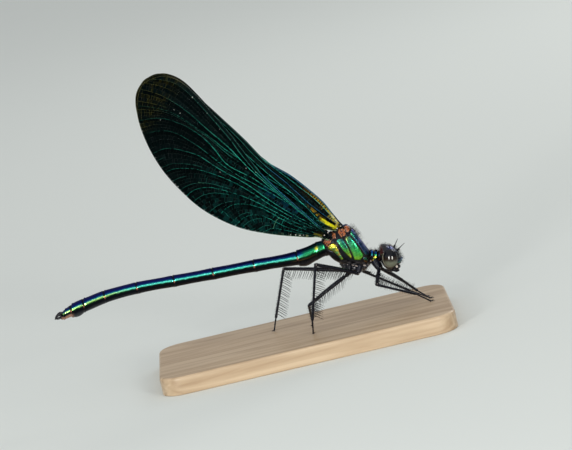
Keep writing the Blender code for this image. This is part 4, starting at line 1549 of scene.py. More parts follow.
    @staticmethod
    def marks() -> None:
        """Add the pale dust, the wrinkle and the pale cross line on the outer wing."""
        dust, folds = Shell(), Shell()
        for along, forward, size in WING_DUST:
            place = HINDWING.in_space(np.array([[along, forward, 0.1]]), Side.RIGHT)[0]
            dust.add_ball(place, (size, 0.03, size * 0.8), turned(along * 50, 0), 10)
        for points, thick in WING_FOLDS:
            flat = spline(points, 24)
            path = HINDWING.in_space(np.column_stack([flat, np.full(24, 0.07)]), Side.RIGHT)
            folds.add_tube(path, np.full(24, thick), 6)
        hand_over(dust.piece("wing_dust", Paintbox.get(DUST)), Slot.WING)
        hand_over(folds.piece("wing_folds", Paintbox.get(FOLD)), Slot.WING)

    def build(self) -> None:
        """Build every wing and hand its two pieces over."""
        self.marks()
        # The pale knobs at the wing roots are partly pale hinge skin and partly painted
        # highlights.
        small_balls("wing_root_knobs_and_glints", PALE, ROOT_KNOBS_AND_GLINTS, (1, 1, 0.8), None)
        small_balls("soft_skin_folds", SOFT, SKIN_FOLDS, (1.5, 0.8, 0.7), turned(0, 25))
        for plan in self.plans:
            net = WingNet(plan)
            LOG.info("%s: %d cells, %d lines", plan.kind, len(net.cells), len(net.lines))
            for side in Side:
                hand_over(self.membrane(plan, net, side), Slot.WING, f"{plan.kind}_{side.word}")
                hand_over(self.veins(plan, net, side), Slot.WING)


# Body skin

NAVY: Colour = (0.004, 0.006, 0.085)
BLUE: Colour = (0.006, 0.022, 0.14)
TEAL: Colour = (0.006, 0.19, 0.24)
GREEN: Colour = (0.02, 0.42, 0.14)
LIME: Colour = (0.28, 0.62, 0.05)
BLACK: Colour = (0.006, 0.007, 0.01)
BLOOM: Colour = (0.13, 0.13, 0.14)
RUST_TONE: Colour = (0.3, 0.07, 0.016)


@dataclass(frozen=True)
class Plate:
    """A raised metallic plate on the side of the thorax, painted by spots of colour.

    Corners and spots are (x, z) in the side view. A spot adds its colour; some are painted
    highlights.
    """

    corners: tuple[Point2, ...]
    spots: tuple[tuple[float, float, Colour], ...]
    rise: float = 0.07

    def shades(self, flat: Array) -> Array:
        """Blend the spots' colours by how near each one is.

        Args:
            flat: Places as (x, z), one row each.

        Returns:
            A colour for each place.
        """
        places = np.array([spot[:2] for spot in self.spots])
        colours = np.array([spot[2] for spot in self.spots])
        gaps = np.linalg.norm(flat[:, None] - places[None], axis=2)
        weights = 1 / (gaps**2 + 0.03) ** 1.6
        return 0.8 * weights @ colours / weights.sum(axis=1, keepdims=True)


# The lilac spots along the front plate and the palest spots near the rear edge of the second plate
# are painted highlights; the other spots are the plates' own colours.
PLATES = (
    Plate(((15.08, 14.12), (15.2, 14.42), (15.52, 14.62), (15.78, 14.42), (16.32, 13.11),
           (16.97, 11.46), (17.02, 10.99), (16.75, 10.72), (16.38, 10.86), (15.92, 12.15),
           (15.49, 13.18)),
          ((15.45, 14.5, (0.05, 0.06, 0.5)), (15.76, 14.2, (0.26, 0.25, 0.62)),
           (16.22, 13.1, (0.28, 0.28, 0.7)), (16.62, 12.1, (0.24, 0.26, 0.62)),
           (16.92, 11.25, (0.14, 0.17, 0.42)), (15.55, 13.8, (0.006, 0.03, 0.13)),
           (15.75, 13.3, (0.006, 0.05, 0.13)), (16.1, 12.4, (0.004, 0.04, 0.1)),
           (16.35, 11.9, (0.008, 0.06, 0.14)), (16.65, 11.2, (0.006, 0.07, 0.12)),
           (15.18, 14.15, GREEN), (15.3, 13.75, (0.03, 0.45, 0.2)),
           (15.6, 13.0, (0.006, 0.1, 0.1)), (16.05, 11.85, (0.05, 0.08, 0.16)),
           (16.45, 10.95, (0.01, 0.1, 0.1)))),
    Plate(((14.2, 13.74), (14.45, 13.92), (14.96, 13.87), (15.36, 13.22), (15.76, 12.19),
           (16.17, 10.98), (16.05, 10.72), (15.58, 10.36), (14.83, 10.55), (14.7, 11.52),
           (14.5, 12.49)),
          ((14.45, 13.7, (0.25, 0.3, 0.08)), (14.8, 13.7, (0.02, 0.22, 0.16)),
           (14.6, 13.2, (0.03, 0.3, 0.12)), (15.05, 13.2, (0.01, 0.2, 0.12)),
           (14.62, 12.75, (0.12, 0.5, 0.28)), (15.0, 12.6, (0.03, 0.38, 0.12)),
           (15.45, 12.4, (0.015, 0.24, 0.1)), (15.05, 11.9, (0.05, 0.5, 0.12)),
           (15.6, 11.7, (0.03, 0.36, 0.09)), (14.85, 11.6, (0.16, 0.55, 0.1)),
           (15.2, 11.2, (0.09, 0.52, 0.09)), (15.85, 11.05, (0.06, 0.4, 0.06)),
           (15.1, 10.8, LIME), (15.65, 10.65, (0.2, 0.5, 0.04)))),
    Plate(((13.0, 13.66), (13.35, 13.84), (13.95, 13.76), (14.08, 13.3), (14.38, 12.5),
           (14.56, 11.2), (14.5, 10.76), (14.03, 11.4), (13.56, 12.25), (13.25, 13.1)),
          ((13.15, 13.62, (0.02, 0.4, 0.3)), (13.75, 13.6, (0.01, 0.1, 0.14)),
           (13.4, 13.4, (0.12, 0.44, 0.18)), (13.9, 13.1, (0.02, 0.26, 0.2)),
           (13.55, 12.85, (0.05, 0.5, 0.14)), (14.1, 12.5, (0.02, 0.14, 0.12)),
           (13.85, 12.2, (0.1, 0.5, 0.08)), (14.25, 11.9, (0.12, 0.4, 0.06)),
           (14.15, 11.6, (0.25, 0.45, 0.04)), (14.45, 11.1, (0.55, 0.6, 0.05)))),
    Plate(((11.66, 12.88), (12.05, 13.3), (12.5, 13.42), (12.9, 13.18), (12.99, 12.68),
           (13.1, 12.0), (13.42, 10.98), (13.1, 10.92), (12.79, 11.6), (12.3, 12.3),
           (11.75, 12.7)),
          ((11.95, 12.85, (0.2, 0.3, 0.03)), (12.45, 13.2, (0.6, 0.5, 0.04)),
           (12.8, 13.05, (0.55, 0.5, 0.05)), (12.2, 12.95, (0.5, 0.45, 0.04)),
           (12.45, 12.65, (0.02, 0.16, 0.06)), (12.85, 12.4, (0.6, 0.42, 0.03)),
           (12.75, 12.05, (0.05, 0.4, 0.12)), (13.0, 11.8, (0.45, 0.25, 0.03)),
           (13.0, 11.5, (0.02, 0.33, 0.16)), (13.25, 11.15, (0.25, 0.5, 0.04)))),
    Plate(((16.02, 10.62), (16.5, 10.6), (16.72, 10.05), (16.3, 9.75), (16.02, 10.05)),
          ((16.15, 10.45, (0.01, 0.1, 0.1)), (16.4, 10.3, (0.01, 0.16, 0.07)),
           (16.2, 9.98, (0.25, 0.09, 0.02)), (16.55, 10.25, (0.03, 0.09, 0.09)))),
)
RUST_PLATES: tuple[tuple[Point2, ...], ...] = (
    ((13.5, 14.62), (13.75, 15.02), (14.25, 14.98), (14.52, 14.5), (14.38, 14.05),
     (13.8, 13.98)),
    ((14.36, 14.68), (14.75, 14.42), (15.16, 14.6), (15.16, 15.1), (14.75, 15.25),
     (14.45, 15.1)),
    ((12.62, 14.0), (13.02, 13.95), (13.12, 14.55), (12.72, 14.8)),
    ((11.29, 13.71), (11.95, 14.45), (12.5, 13.95), (11.8, 12.95)),
)
BREAST_ROWS = (
    ((12.9, 10.6), (12.75, 10.1), 0.3), ((13.4, 10.4), (13.25, 9.3), 0.85),
    ((14.2, 10.2), (14.1, 8.85), 1.12), ((15.1, 10.0), (15.0, 8.62), 1.18),
    ((15.9, 9.9), (15.9, 8.68), 1.05), ((16.5, 9.9), (16.6, 9.05), 0.75),
    ((16.95, 9.9), (17.05, 9.55), 0.3))
PROTHORAX_SPOTS = (
    (17.42, 10.98, 0.26, (0.008, 0.09, 0.36)), (17.3, 10.62, 0.16, (0.01, 0.2, 0.26)),
    (17.84, 10.7, 0.2, (0.008, 0.1, 0.36)), (17.72, 10.42, 0.2, (0.02, 0.4, 0.16)),
    (17.62, 10.18, 0.17, (0.85, 0.72, 0.05)), (17.5, 10.02, 0.14, (0.15, 0.45, 0.06)),
    (17.36, 9.86, 0.17, (0.8, 0.62, 0.05)), (17.25, 9.62, 0.13, (0.55, 0.25, 0.06)),
    (18.34, 10.42, 0.17, (0.01, 0.12, 0.34)), (18.4, 10.08, 0.17, (0.01, 0.28, 0.16)),
    (18.1, 9.72, 0.1, (0.3, 0.08, 0.02)), (16.95, 9.86, 0.14, (0.55, 0.3, 0.22)),
)
THORAX_ROWS = (
    ((11.0, 13.7), (11.6, 11.75), 0.7), ((11.35, 14.3), (12.3, 10.8), 1.1),
    ((12.15, 14.72), (13.4, 9.95), 1.42), ((13.15, 15.0), (14.6, 9.45), 1.58),
    ((14.15, 15.28), (15.7, 9.22), 1.62), ((14.95, 15.22), (16.6, 9.3), 1.52),
    ((15.52, 14.55), (17.08, 9.85), 1.22), ((16.02, 13.55), (17.22, 10.75), 0.55))
PROTHORAX_ROWS = (
    ((16.7, 10.95), (16.45, 9.75), 0.55), ((17.05, 11.05), (16.8, 9.45), 0.8),
    ((17.42, 11.17), (17.15, 9.25), 0.92), ((17.66, 10.86), (17.4, 9.2), 0.84),
    ((17.92, 11.05), (17.65, 9.1), 0.88), ((18.18, 10.8), (17.98, 9.15), 0.72),
    ((18.42, 10.68), (18.25, 9.35), 0.62), ((18.6, 10.35), (18.5, 9.45), 0.42),
    ((19.0, 10.2), (19.0, 9.5), 0.4))
ABDOMEN_JOINTS = ((11.35, 12.9), (9.95, 12.7), (7.42, 12.4), (1.54, 12.72), (-4.06, 12.95),
                  (-9.38, 13.2), (-14.43, 13.43), (-18.92, 13.26), (-21.92, 12.78),
                  (-23.74, 12.48), (-24.85, 12.17))
# front, waist and rear radius, height over width, belly drop
ABDOMEN_SIZES = (
    (0.78, 0.84, 0.88, 1.2, 0.0), (0.87, 0.84, 0.78, 1.17, 0.3), (0.79, 0.67, 0.71, 1.06, 0.0),
    (0.71, 0.65, 0.69, 1.03, 0.0), (0.69, 0.63, 0.68, 1.03, 0.0), (0.68, 0.63, 0.68, 1.03, 0.0),
    (0.68, 0.66, 0.72, 1.03, 0.0), (0.72, 0.73, 0.78, 1.04, 0.1), (0.76, 0.76, 0.7, 1.06, 0.3),
    (0.66, 0.62, 0.56, 1.04, 0.1))


def slanted_rings(rows: Sequence[tuple[Point2, Point2, float]], steps: int, sides: int,
                  fullness: float, narrowing: float) -> Array:
    """Make rings through stations of top point, bottom point and half width.

    Args:
        rows: The stations, from the rear to the front.
        steps: How many rings to make.
        sides: How many points each ring has.
        fullness: The power that squares the section up, 1 for an ellipse.
        narrowing: How much narrower the section is at its top.

    Returns:
        Points as steps by sides by three.
    """
    flat = np.array([[*top, *bottom, width] for top, bottom, width in rows])
    flow = spline(flat, steps, even=False)
    angles = np.linspace(0, math.tau, sides, endpoint=False)
    up = np.sign(np.cos(angles)) * np.abs(np.cos(angles)) ** fullness
    out = np.sign(np.sin(angles)) * np.abs(np.sin(angles)) ** fullness
    out = out * (1 - narrowing * np.cos(angles))
    centre, rise = (flow[:, :2] + flow[:, 2:4]) / 2, (flow[:, :2] - flow[:, 2:4]) / 2
    flat_places = centre[:, None] + rise[:, None] * up[None, :, None]
    return np.stack([flat_places[..., 0], flow[:, 4, None] * out, flat_places[..., 1]], axis=2)


def swollen(rings: Array, push: Array, lengthwise: float = 1.0) -> Array:
    """Push the points of some rings outward from each ring's middle.

    Args:
        rings: Points as rows by sides by three.
        push: How far each point moves, one after the other.
        lengthwise: How much of the way out along X is kept.

    Returns:
        The moved points, in the same shape.
    """
    outward = rings - rings.mean(axis=1, keepdims=True)
    outward[..., 0] *= lengthwise
    outward /= np.linalg.norm(outward, axis=2, keepdims=True) + 1e-9
    return rings + outward * push.reshape(rings.shape[:2])[..., None]


def united(first: bpy.types.Object, others: Sequence[bpy.types.Object],
           name: str) -> bpy.types.Object:
    """Join closed shapes into one skin without inner walls.

    Args:
        first: The first shape, which is used up.
        others: The other shapes, used up too.
        name: The skin's name.

    Returns:
        The skin.
    """
    group = bpy.data.collections.new("joining")
    for other in others:
        group.objects.link(other)
    join = first.modifiers.new("join", "BOOLEAN")
    join.operation = "UNION"
    join.solver = "MANIFOLD"
    join.operand_type = "COLLECTION"
    join.collection = group
    made = baked(first, name)
    for other in others:
        bpy.data.objects.remove(other, do_unlink=True)
    bpy.data.collections.remove(group)
    return made


@dataclass
class BodySkin:
    """The skin of the thorax, the front thorax and the abdomen, as one surface."""

    thorax_sides: int = 260
    thorax_steps: int = 130
    abdomen_sides: int = 72
    rings_per_mm: float = 11.0
    abdomen_height: float = 1.19
    abdomen_width: float = 1.06
    abdomen_drop: float = 0.14

    def thorax(self) -> Array:
        """Shape the winged thorax with its raised plates and grooves.

        Returns:
            Points as rows by sides by three.
        """
        rings = slanted_rings(THORAX_ROWS, self.thorax_steps, self.thorax_sides, 0.82, 0.16)
        points = rings.reshape(-1, 3)
        flat = points[:, [0, 2]]
        lateral = smooth(0.35, 0.7, np.abs(points[:, 1]))
        push = np.zeros(len(points))
        for plate in PLATES:
            depth = inside_distance(flat, plate.corners)
            push += plate.rise * smooth(0.0, 0.14, depth) - 0.035 * bell(depth, -0.05, 0.05)
        for corners in RUST_PLATES:
            depth = inside_distance(flat, corners)
            push += 0.2 * smooth(-0.02, 0.22, depth) - 0.05 * bell(depth, -0.08, 0.06)
            push -= 0.07 * smooth(0.24, 0.34, depth)
        push *= lateral
        keel = 0.1 * bell(points[:, 1], 0, 0.1) * smooth(15.2, 15.7, points[:, 0])
        push += keel * smooth(11.2, 12.0, points[:, 2])
        push += 0.018 * wave_noise(points, 1.1, 3) + 0.008 * wave_noise(points, 0.3, 4)
        return swollen(rings, push, 0.35)

    def prothorax(self) -> Array:
        """Shape the front thorax with its lobes, and the neck that runs into the head.

        Returns:
            Points as rows by sides by three.
        """
        rings = slanted_rings(PROTHORAX_ROWS, 80, 110, 0.95, 0.0)
        points = rings.reshape(-1, 3)
        lumps = 0.05 * wave_noise(points, 0.9, 11) * smooth(18.9, 18.3, points[:, 0])
        return swollen(rings, lumps)

    def abdomen(self) -> Array:
        """Shape the ten segments with their end rings, side edges and belly.

        Returns:
            Points as rows by sides by three.
        """
        joints = np.array(ABDOMEN_JOINTS)
        line = spline([(12.2, 12.95), *joints, (-25.0, 12.12)], 420)
        starts = [int(np.argmin(np.linalg.norm(line - joint, axis=1))) for joint in joints]
        angles = np.linspace(0, math.tau, self.abdomen_sides, endpoint=False)
        marks = lengths_along(line)[starts]
        rings = []
        places = np.linspace(0.0, marks[-1], int(marks[-1] * self.rings_per_mm))
        for place in places:
            index = int(np.clip(np.searchsorted(marks, place) - 1, 0, 9))
            front, waist, rear, tall, belly = ABDOMEN_SIZES[index]
            span = marks[index + 1] - marks[index]
            share = float(np.clip((place - marks[index]) / span, 0, 1))
            radius = np.interp(share, [0, 0.3, 0.6, 1],
                               [front, (front + 2 * waist) / 3, (rear + 2 * waist) / 3, rear])
            before, after = (place - marks[index]), (marks[index + 1] - place)
            radius -= 0.055 * bell(before, 0.0, 0.07) + 0.055 * bell(after, 0.0, 0.07)
            radius += (0.03 if index < 7 else 0.07) * bell(after, 0.18, 0.09)
            behind, middle, ahead = read_line(
                line, np.array([max(place - 0.2, 0), place, place + 0.2]))
            tangent = unit(ahead - behind)
            wide = radius * np.ones_like(angles)
            low = np.abs(angles - math.pi) / math.pi
            wide -= 0.075 * bell(low, 0.0, 0.17) * smooth(0, 0.25, before) * smooth(0, 0.2, after)
            wide += 0.03 * bell(low, 0.24, 0.05)
            wide += 0.022 * bell(np.minimum(angles, math.tau - angles), 0, 0.12)
            up = np.cos(angles) * wide * tall * self.abdomen_height
            out = np.sin(angles) * wide * self.abdomen_width
            swell = np.clip(-np.cos(angles), 0, 1) ** 3 * math.sin(math.pi * share) ** 0.7
            drop = self.abdomen_drop + belly * swell
            rings.append(np.column_stack([
                middle[0] - up * tangent[1], out, middle[1] - up * tangent[0] - drop]))
        last = rings[-1]
        centre = last.mean(axis=0)
        back = np.array([tangent[0], 0.0, tangent[1]])
        for turn in np.linspace(0.2, 1.45, 7):
            rings.append(centre + (last - centre) * math.cos(turn) + back * 0.5 * math.sin(turn))
        return np.array(rings)

    def breast(self) -> Array:
        """Shape the lumpy underside that the legs spring from.

        Returns:
            Points as rows by sides by three.
        """
        rings = slanted_rings(BREAST_ROWS, 90, 120, 0.9, 0.0)
        points = rings.reshape(-1, 3)
        lumps = 0.1 * wave_noise(points, 0.75, 51) + 0.03 * wave_noise(points, 0.3, 52)
        return swollen(rings, lumps)

    @staticmethod
    def breast_shades(points: Array) -> tuple[Array, Array]:
        """Paint the underside: black with a grey bloom and a few pale folds.

        Args:
            points: Points in millimetres, one row each.

        Returns:
            Their colours, and how metallic each one is.
        """
        bloom = np.clip(0.3 + 0.8 * wave_noise(points, 0.5, 53), 0, 1)
        shades = mix(BLACK, BLOOM, 0.8 * bloom)
        folds = smooth(0.45, 0.7, wave_noise(points, 0.42, 54))
        return mix(shades, (0.5, 0.44, 0.42), 0.8 * folds), 0.5 * (1 - bloom)

    @staticmethod
    def thorax_shades(points: Array) -> tuple[Array, Array]:
        """Paint the winged thorax and give how metallic each point is.

        Args:
            points: Points in millimetres, one row each.

        Returns:
            Their colours, and how metallic each one is.
        """
        flat = points[:, [0, 2]]
        lateral = smooth(0.3, 0.6, np.abs(points[:, 1]))
        shades = np.tile(BLACK, (len(points), 1))
        metal = np.full(len(points), 0.75)
        below = smooth(10.9, 9.9, points[:, 2] + 0.25 * (points[:, 0] - 14))
        bloom = np.clip(0.4 + 0.65 * wave_noise(points, 0.45, 21), 0, 1) * below
        shades = mix(shades, BLOOM, 0.8 * bloom)
        metal = metal * (1 - 0.8 * bloom)
        for plate in PLATES:
            depth = inside_distance(flat, plate.corners)
            inside = smooth(0.0, 0.07, depth) * lateral
            # The plates' spots hold painted highlights besides their own colours.
            patch = plate.shades(flat) * (1 + 0.65 * wave_noise(points, 0.17, 8))[:, None]
            rim = bell(depth, 0.03, 0.03)
            patch = mix(patch, (0.45, 0.16, 0.03), 0.3 * rim)
            shades = mix(shades, patch, inside)
            metal = metal * (1 - inside) + 0.92 * inside
        for corners in RUST_PLATES:
            depth = inside_distance(flat, corners)
            inside = smooth(-0.04, 0.04, depth) * lateral
            tone = mix(RUST_TONE, (0.5, 0.19, 0.07), bell(depth, 0.05, 0.05))
            tone = mix(tone, (0.025, 0.008, 0.005),
                       smooth(0.0, 0.35, wave_noise(points, 0.34, 31)) * 0.9)
            shades = mix(shades, tone, inside)
            metal = metal * (1 - inside)
        top = smooth(14.9, 15.2, points[:, 2]) * (1 - lateral)
        return mix(shades, (0.015, 0.06, 0.2), 0.6 * top), metal

    @staticmethod
    def prothorax_shades(points: Array) -> tuple[Array, Array]:
        """Paint the front thorax: black with small bright spots down each side.

        Args:
            points: Points in millimetres, one row each.

        Returns:
            Their colours, and how metallic each one is.
        """
        shades = np.tile(BLACK, (len(points), 1))
        x, y, z = points.T
        for place_x, place_z, size, tone in PROTHORAX_SPOTS:
            gap = np.hypot(x - place_x, z - place_z) + 0.06 * wave_noise(points, 0.25, 17)
            spot = smooth(size, 0.55 * size, gap) * smooth(0.15, 0.35, np.abs(y))
            shades = mix(shades, tone, spot)
        neck = smooth(18.45, 18.6, points[:, 0])
        shades = mix(shades, (0.05, 0.018, 0.012), neck)
        return shades, 0.85 - 0.6 * neck

    @staticmethod
    def abdomen_shades(points: Array) -> tuple[Array, Array]:
        """Paint the abdomen: blue above, teal and green with a painted highlight on the side,
        black below.

        Args:
            points: Points in millimetres, one row each.

        Returns:
            Their colours, and how metallic each one is.
        """
        line = np.array(spline(ABDOMEN_JOINTS, 400))
        joints = np.array(ABDOMEN_JOINTS)
        order = np.argsort(line[:, 0])
        middle = np.interp(points[:, 0], line[order, 0], line[order, 1])
        turn = np.degrees(np.arctan2(np.abs(points[:, 1]), points[:, 2] - middle))
        x = points[:, 0]
        turn = turn + 3 * wave_noise(points, 0.8, 5)
        shades = mix(NAVY, BLUE, smooth(42, 58, turn))
        shades = mix(shades, TEAL, smooth(59, 67, turn))
        rear = smooth(-14, -19, x)
        # Painted highlight: the bright band along the side stands for the line of light from the
        # lamps.
        painted_highlight_band = mix((0.12, 0.8, 0.58), (0.4, 0.74, 0.2), rear)
        painted_highlight_band = mix(painted_highlight_band, (0.08, 0.62, 0.26), smooth(7.0, 8.5, x))
        shades = mix(shades, painted_highlight_band, smooth(70, 78, turn))
        shades = mix(shades, (0.004, 0.06, 0.015), smooth(86, 91, turn))
        # Painted shade: the black on the underside.
        shades = mix(shades, BLACK, smooth(94, 100, turn))
        front_blue = smooth(7.5, 9.5, x) * smooth(70, 40, turn)
        shades = mix(shades, (0.003, 0.03, 0.04), 0.85 * front_blue)
        front_green = smooth(7.8, 8.6, x) * bell(turn, 68, 20)
        shades = mix(shades, (0.012, 0.26, 0.06), 0.8 * front_green)
        spot = bell(np.hypot(x - 10.2, turn / 60 - 1.0), 0, 0.18)
        shades = mix(shades, (0.75, 0.72, 0.05), np.clip(1.3 * spot, 0, 1))
        copper = bell(turn, 112, 4) * smooth(10.5, 9.5, x) * smooth(6.2, 7.5, x)
        shades = mix(shades, (0.16, 0.1, 0.02), 0.5 * copper)
        metal = 0.92 * smooth(150, 120, turn) + 0.05
        for joint in joints[2:-1]:
            gap = np.abs(x - joint[0])
            ring = smooth(0.2, 0.09, gap)
            shades = mix(shades, BLACK, 0.92 * ring)
            seam = smooth(0.09, 0.04, np.abs(x - joint[0] - 0.02)) * bell(turn, 96, 11)
            shades = mix(shades, (0.5, 0.16, 0.07), 0.8 * seam)
            metal = metal * (1 - 0.9 * seam)
        under = smooth(114, 130, turn) * smooth(-23.3, -23.9, x)
        under = under * (0.75 + 0.25 * wave_noise(points, 0.3, 61))
        shades = mix(shades, (0.38, 0.19, 0.12), 0.9 * under)
        metal = metal * (1 - under)
        closing = smooth(-24.85, -25.0, x) * (1 - under)
        return mix(shades, BLACK, 0.9 * closing), metal

    def build(self) -> bpy.types.Object:
        """Build the parts, paint them and unite them into one skin.

        Returns:
            The skin, already riding on the body.
        """
        parts, places, shades, metals = [], [], [], []
        for name, rings, painter in (("thorax", self.thorax(), self.thorax_shades),
                                     ("breast", self.breast(), self.breast_shades),
                                     ("prothorax", self.prothorax(), self.prothorax_shades),
                                     ("abdomen", self.abdomen(), self.abdomen_shades)):
            shell = Shell()
            shell.add_loft(rings)
            piece = shell.piece(name)
            colours, metal = painter(read_points(piece.data))
            parts.append(piece)
            places.append(read_points(piece.data))
            shades.append(colours)
            metals.append(metal)
        skin = united(parts[0], parts[1:], "body_skin")
        every, colours, metal = np.vstack(places), np.vstack(shades), np.concatenate(metals)
        nearest = nearest_places(every, read_points(skin.data))
        paint(skin.data, "shade", colours[nearest])
        store(skin.data, "metal", metal[nearest])
        skin.data.shade_smooth()
        skin.data.materials.clear()
        skin.data.materials.append(Paintbox.get(METAL_SKIN))
        hand_over(skin, Slot.BODY, "pterothorax", "prothorax",
                  *(f"abdomen_{number}" for number in range(1, 11)))
        return skin


def nearest_places(known: Array, asked: Array) -> Array:
    """Find the number of the known place nearest to each asked one.

    Args:
        known: The known places.
        asked: The places asked about.

    Returns:
        A number for each asked place.
    """
    tree = KDTree(len(known))
    for number, place in enumerate(known):
        tree.insert(place, number)
    tree.balance()
    return np.array([tree.find(place)[1] for place in asked])


# Head

HEAD_OUTLINE = ((18.42, 10.9), (18.6, 11.28), (18.95, 11.46), (19.4, 11.36), (20.05, 11.0),
                (20.62, 10.42), (20.92, 9.85), (20.98, 9.45), (21.02, 9.05), (20.92, 8.66),
                (20.62, 8.42), (20.1, 8.16), (19.6, 8.0), (19.05, 7.98), (18.62, 8.34),
                (18.34, 9.0), (18.24, 9.8), (18.28, 10.45))


@dataclass
class Head:
    """The head with its eyes, mouthparts, feelers and the three small eyes on top."""

    centre: Point2 = (19.6, 9.62)
    half_width: float = 1.7
    eye_centre: Point3 = (19.58, 1.55, 9.66)
    eye_radii: Point3 = (0.99, 0.95, 1.25)
    # Where the two painted highlights sit on the near eye, as (x, z)
    painted_catchlights: tuple[Point2, ...] = ((19.37, 9.94), (19.79, 9.84))
    steps: int = 150
    outline_count: int = 190

    def shell(self) -> Array:
        """Shape the head's own shell, from side to side.

        Returns:
            Points as rows by sides by three.
        """
        outline = spline([*HEAD_OUTLINE, HEAD_OUTLINE[0]], self.outline_count + 1)[:-1]
        across = np.sin(np.linspace(-1, 1, self.steps) * math.pi / 2 * 0.985)
        scale = 1 - 0.42 * np.abs(across) ** 3
        flat = self.centre + (outline - self.centre) * scale[:, None, None]
        sideways = np.broadcast_to(across[:, None] * self.half_width, flat.shape[:2])
        return np.stack([flat[..., 0], sideways, flat[..., 1]], axis=2)

    def sculpt(self, points: Array, normals: Array) -> Array:
        """Raise the face plates, the bulge of the clypeus and the ridges of the crown.

        Args:
            points: Points in millimetres, one row each.
            normals: The way out at each one.

        Returns:
            The moved points.
        """
        x, y, z = points.T
        front = smooth(19.9, 20.4, x)
        push = 0.2 * bell(z, 9.08, 0.22) * bell(y, 0, 0.8) * front
        push -= 0.1 * bell(z, 9.42, 0.06) * bell(y, 0, 1.1) * front
        push -= 0.09 * bell(z, 8.76, 0.05) * bell(y, 0, 1.0) * front
        push += 0.07 * bell(z, 8.6, 0.09) * bell(y, 0, 0.7) * front
        push -= 0.07 * bell(z, 8.44, 0.04) * bell(y, 0, 0.9) * front
        for sign in (-1, 1):
            socket = np.hypot(np.hypot(x - 20.55, y - sign * 0.72), z - 10.3)
            push += 0.09 * bell(socket, 0.2, 0.07) - 0.07 * bell(socket, 0, 0.12)
            swell = np.hypot(x - 20.0, y - sign * 0.55)
            push += 0.06 * bell(swell, 0, 0.28) * smooth(10.4, 10.9, z)
        crown = smooth(10.3, 10.9, z)
        push -= 0.06 * bell(x, 19.72, 0.07) * crown * bell(y, 0, 1.0)
        push -= 0.05 * bell(y, 0, 0.05) * smooth(9.9, 10.3, z) * front
        push += 0.08 * bell(x, 18.8, 0.13) * crown
        push += 0.012 * wave_noise(points, 0.35, 14)
        return points + normals * push[:, None]

    @staticmethod
    def shades(points: Array) -> tuple[Array, Array]:
        """Paint the head: black with a blue and green gloss, brown temples, painted highlights.

        Args:
            points: Points in millimetres, one row each.

        Returns:
            Their colours, and how metallic each one is.
        """
        x, y, z = points.T
        shades = np.tile((0.01, 0.011, 0.014), (len(points), 1))
        metal = np.full(len(points), 0.3)
        bulge = bell(z, 9.08, 0.2) * smooth(20.2, 20.6, x) * bell(y, 0, 1.0)
        shades = mix(shades, (0.02, 0.12, 0.3), np.clip(bulge * 1.3, 0, 1))
        shades = mix(shades, (0.01, 0.25, 0.2), 0.7 * bell(z, 8.86, 0.09) * smooth(20.2, 20.6, x))
        top = smooth(10.45, 10.9, z) * smooth(19.2, 19.9, x)
        cloud = 0.7 + 0.3 * wave_noise(points, 0.4, 2)
        shades = mix(shades, (0.05, 0.07, 0.24), 0.75 * top * cloud)
        temple = smooth(18.95, 18.55, x) * smooth(10.2, 10.7, z)
        shades = mix(shades, (0.1, 0.022, 0.012), 0.8 * temple)
        # Painted highlights: a pale line along the crown's edge over each eye, and a pale spot on
        # each side of the clypeus.
        start, way = np.array((19.8, 0.75, 10.84)), np.array((0.68, 0.28, -0.52))
        gap = np.column_stack([x, np.abs(y), z]) - start
        reach = np.clip(gap @ way / (way @ way), 0, 1)
        painted_highlight = bell(np.linalg.norm(gap - reach[:, None] * way, axis=1), 0, 0.085)
        painted_highlight = painted_highlight + bell(np.hypot(np.abs(y) - 0.6, z - 9.12), 0, 0.13) * smooth(20.2, 20.5, x)
        shades = mix(shades, (0.5, 0.58, 0.75), 0.85 * np.clip(painted_highlight, 0, 1))
        spots = bell(np.hypot(np.hypot(x - 18.55, z - 10.4), np.abs(y) - 1.0), 0, 0.16)
        shades = mix(shades, (0.35, 0.1, 0.03), 0.8 * spots)
        metal = metal + 0.5 * np.clip(bulge + top, 0, 1)
        return shades, np.clip(metal, 0, 0.85)

    def skull(self) -> None:
        """Build the shell and hand it over."""
        shell = Shell()
        shell.add_loft(self.shell())
        head = shell.piece("head_shell")
        points = self.sculpt(read_points(head.data), read_normals(head.data))
        write_points(head.data, points)
        shades, metal = self.shades(points)
        paint(head.data, "shade", shades)
        store(head.data, "metal", metal)
        head.data.materials.append(Paintbox.get(METAL_SKIN))
        hand_over(head, Slot.HEAD, "head")

    def mouth(self) -> None:
        """Build the upper lip, the jaws with their pale spots and the lower lip."""
        shell = Shell()
        for place, radii, tilt in (((20.34, 0.0, 8.16), (0.42, 0.62, 0.3), 38),
                                   ((19.85, 0.0, 7.8), (0.5, 0.62, 0.34), 30),
                                   ((19.35, 0.0, 7.82), (0.62, 0.52, 0.24), 12)):
            shell.add_ball(place, radii, turned(0, tilt), 30)
        for sign in (-1, 1):
            shell.add_ball((20.02, sign * 0.92, 8.22), (0.42, 0.26, 0.36),
                           turned(sign * 12, 30), 24)
            shell.add_ball((20.18, sign * 0.55, 7.78), (0.34, 0.17, 0.2),
                           turned(sign * -18, 50), 20)
            path = spline([(19.65, sign * 0.55, 7.78), (19.95, sign * 0.66, 7.56),
                           (20.2, sign * 0.5, 7.5)], 14)
            shell.add_tube(path, np.linspace(0.13, 0.05, 14), 12)
        mouth = shell.piece("mouthparts_shell", Paintbox.get(BLACK_SHELL))
        hand_over(mouth, Slot.HEAD, "mouthparts")
        spots = Shell()
        for sign in (-1, 1):
            spots.add_ball((20.12, sign * 1.13, 8.3), (0.18, 0.08, 0.22),
                           turned(sign * 20, 28), 18)
        hand_over(spots.piece("jaw_spots", Paintbox.get(PALE)), Slot.HEAD)

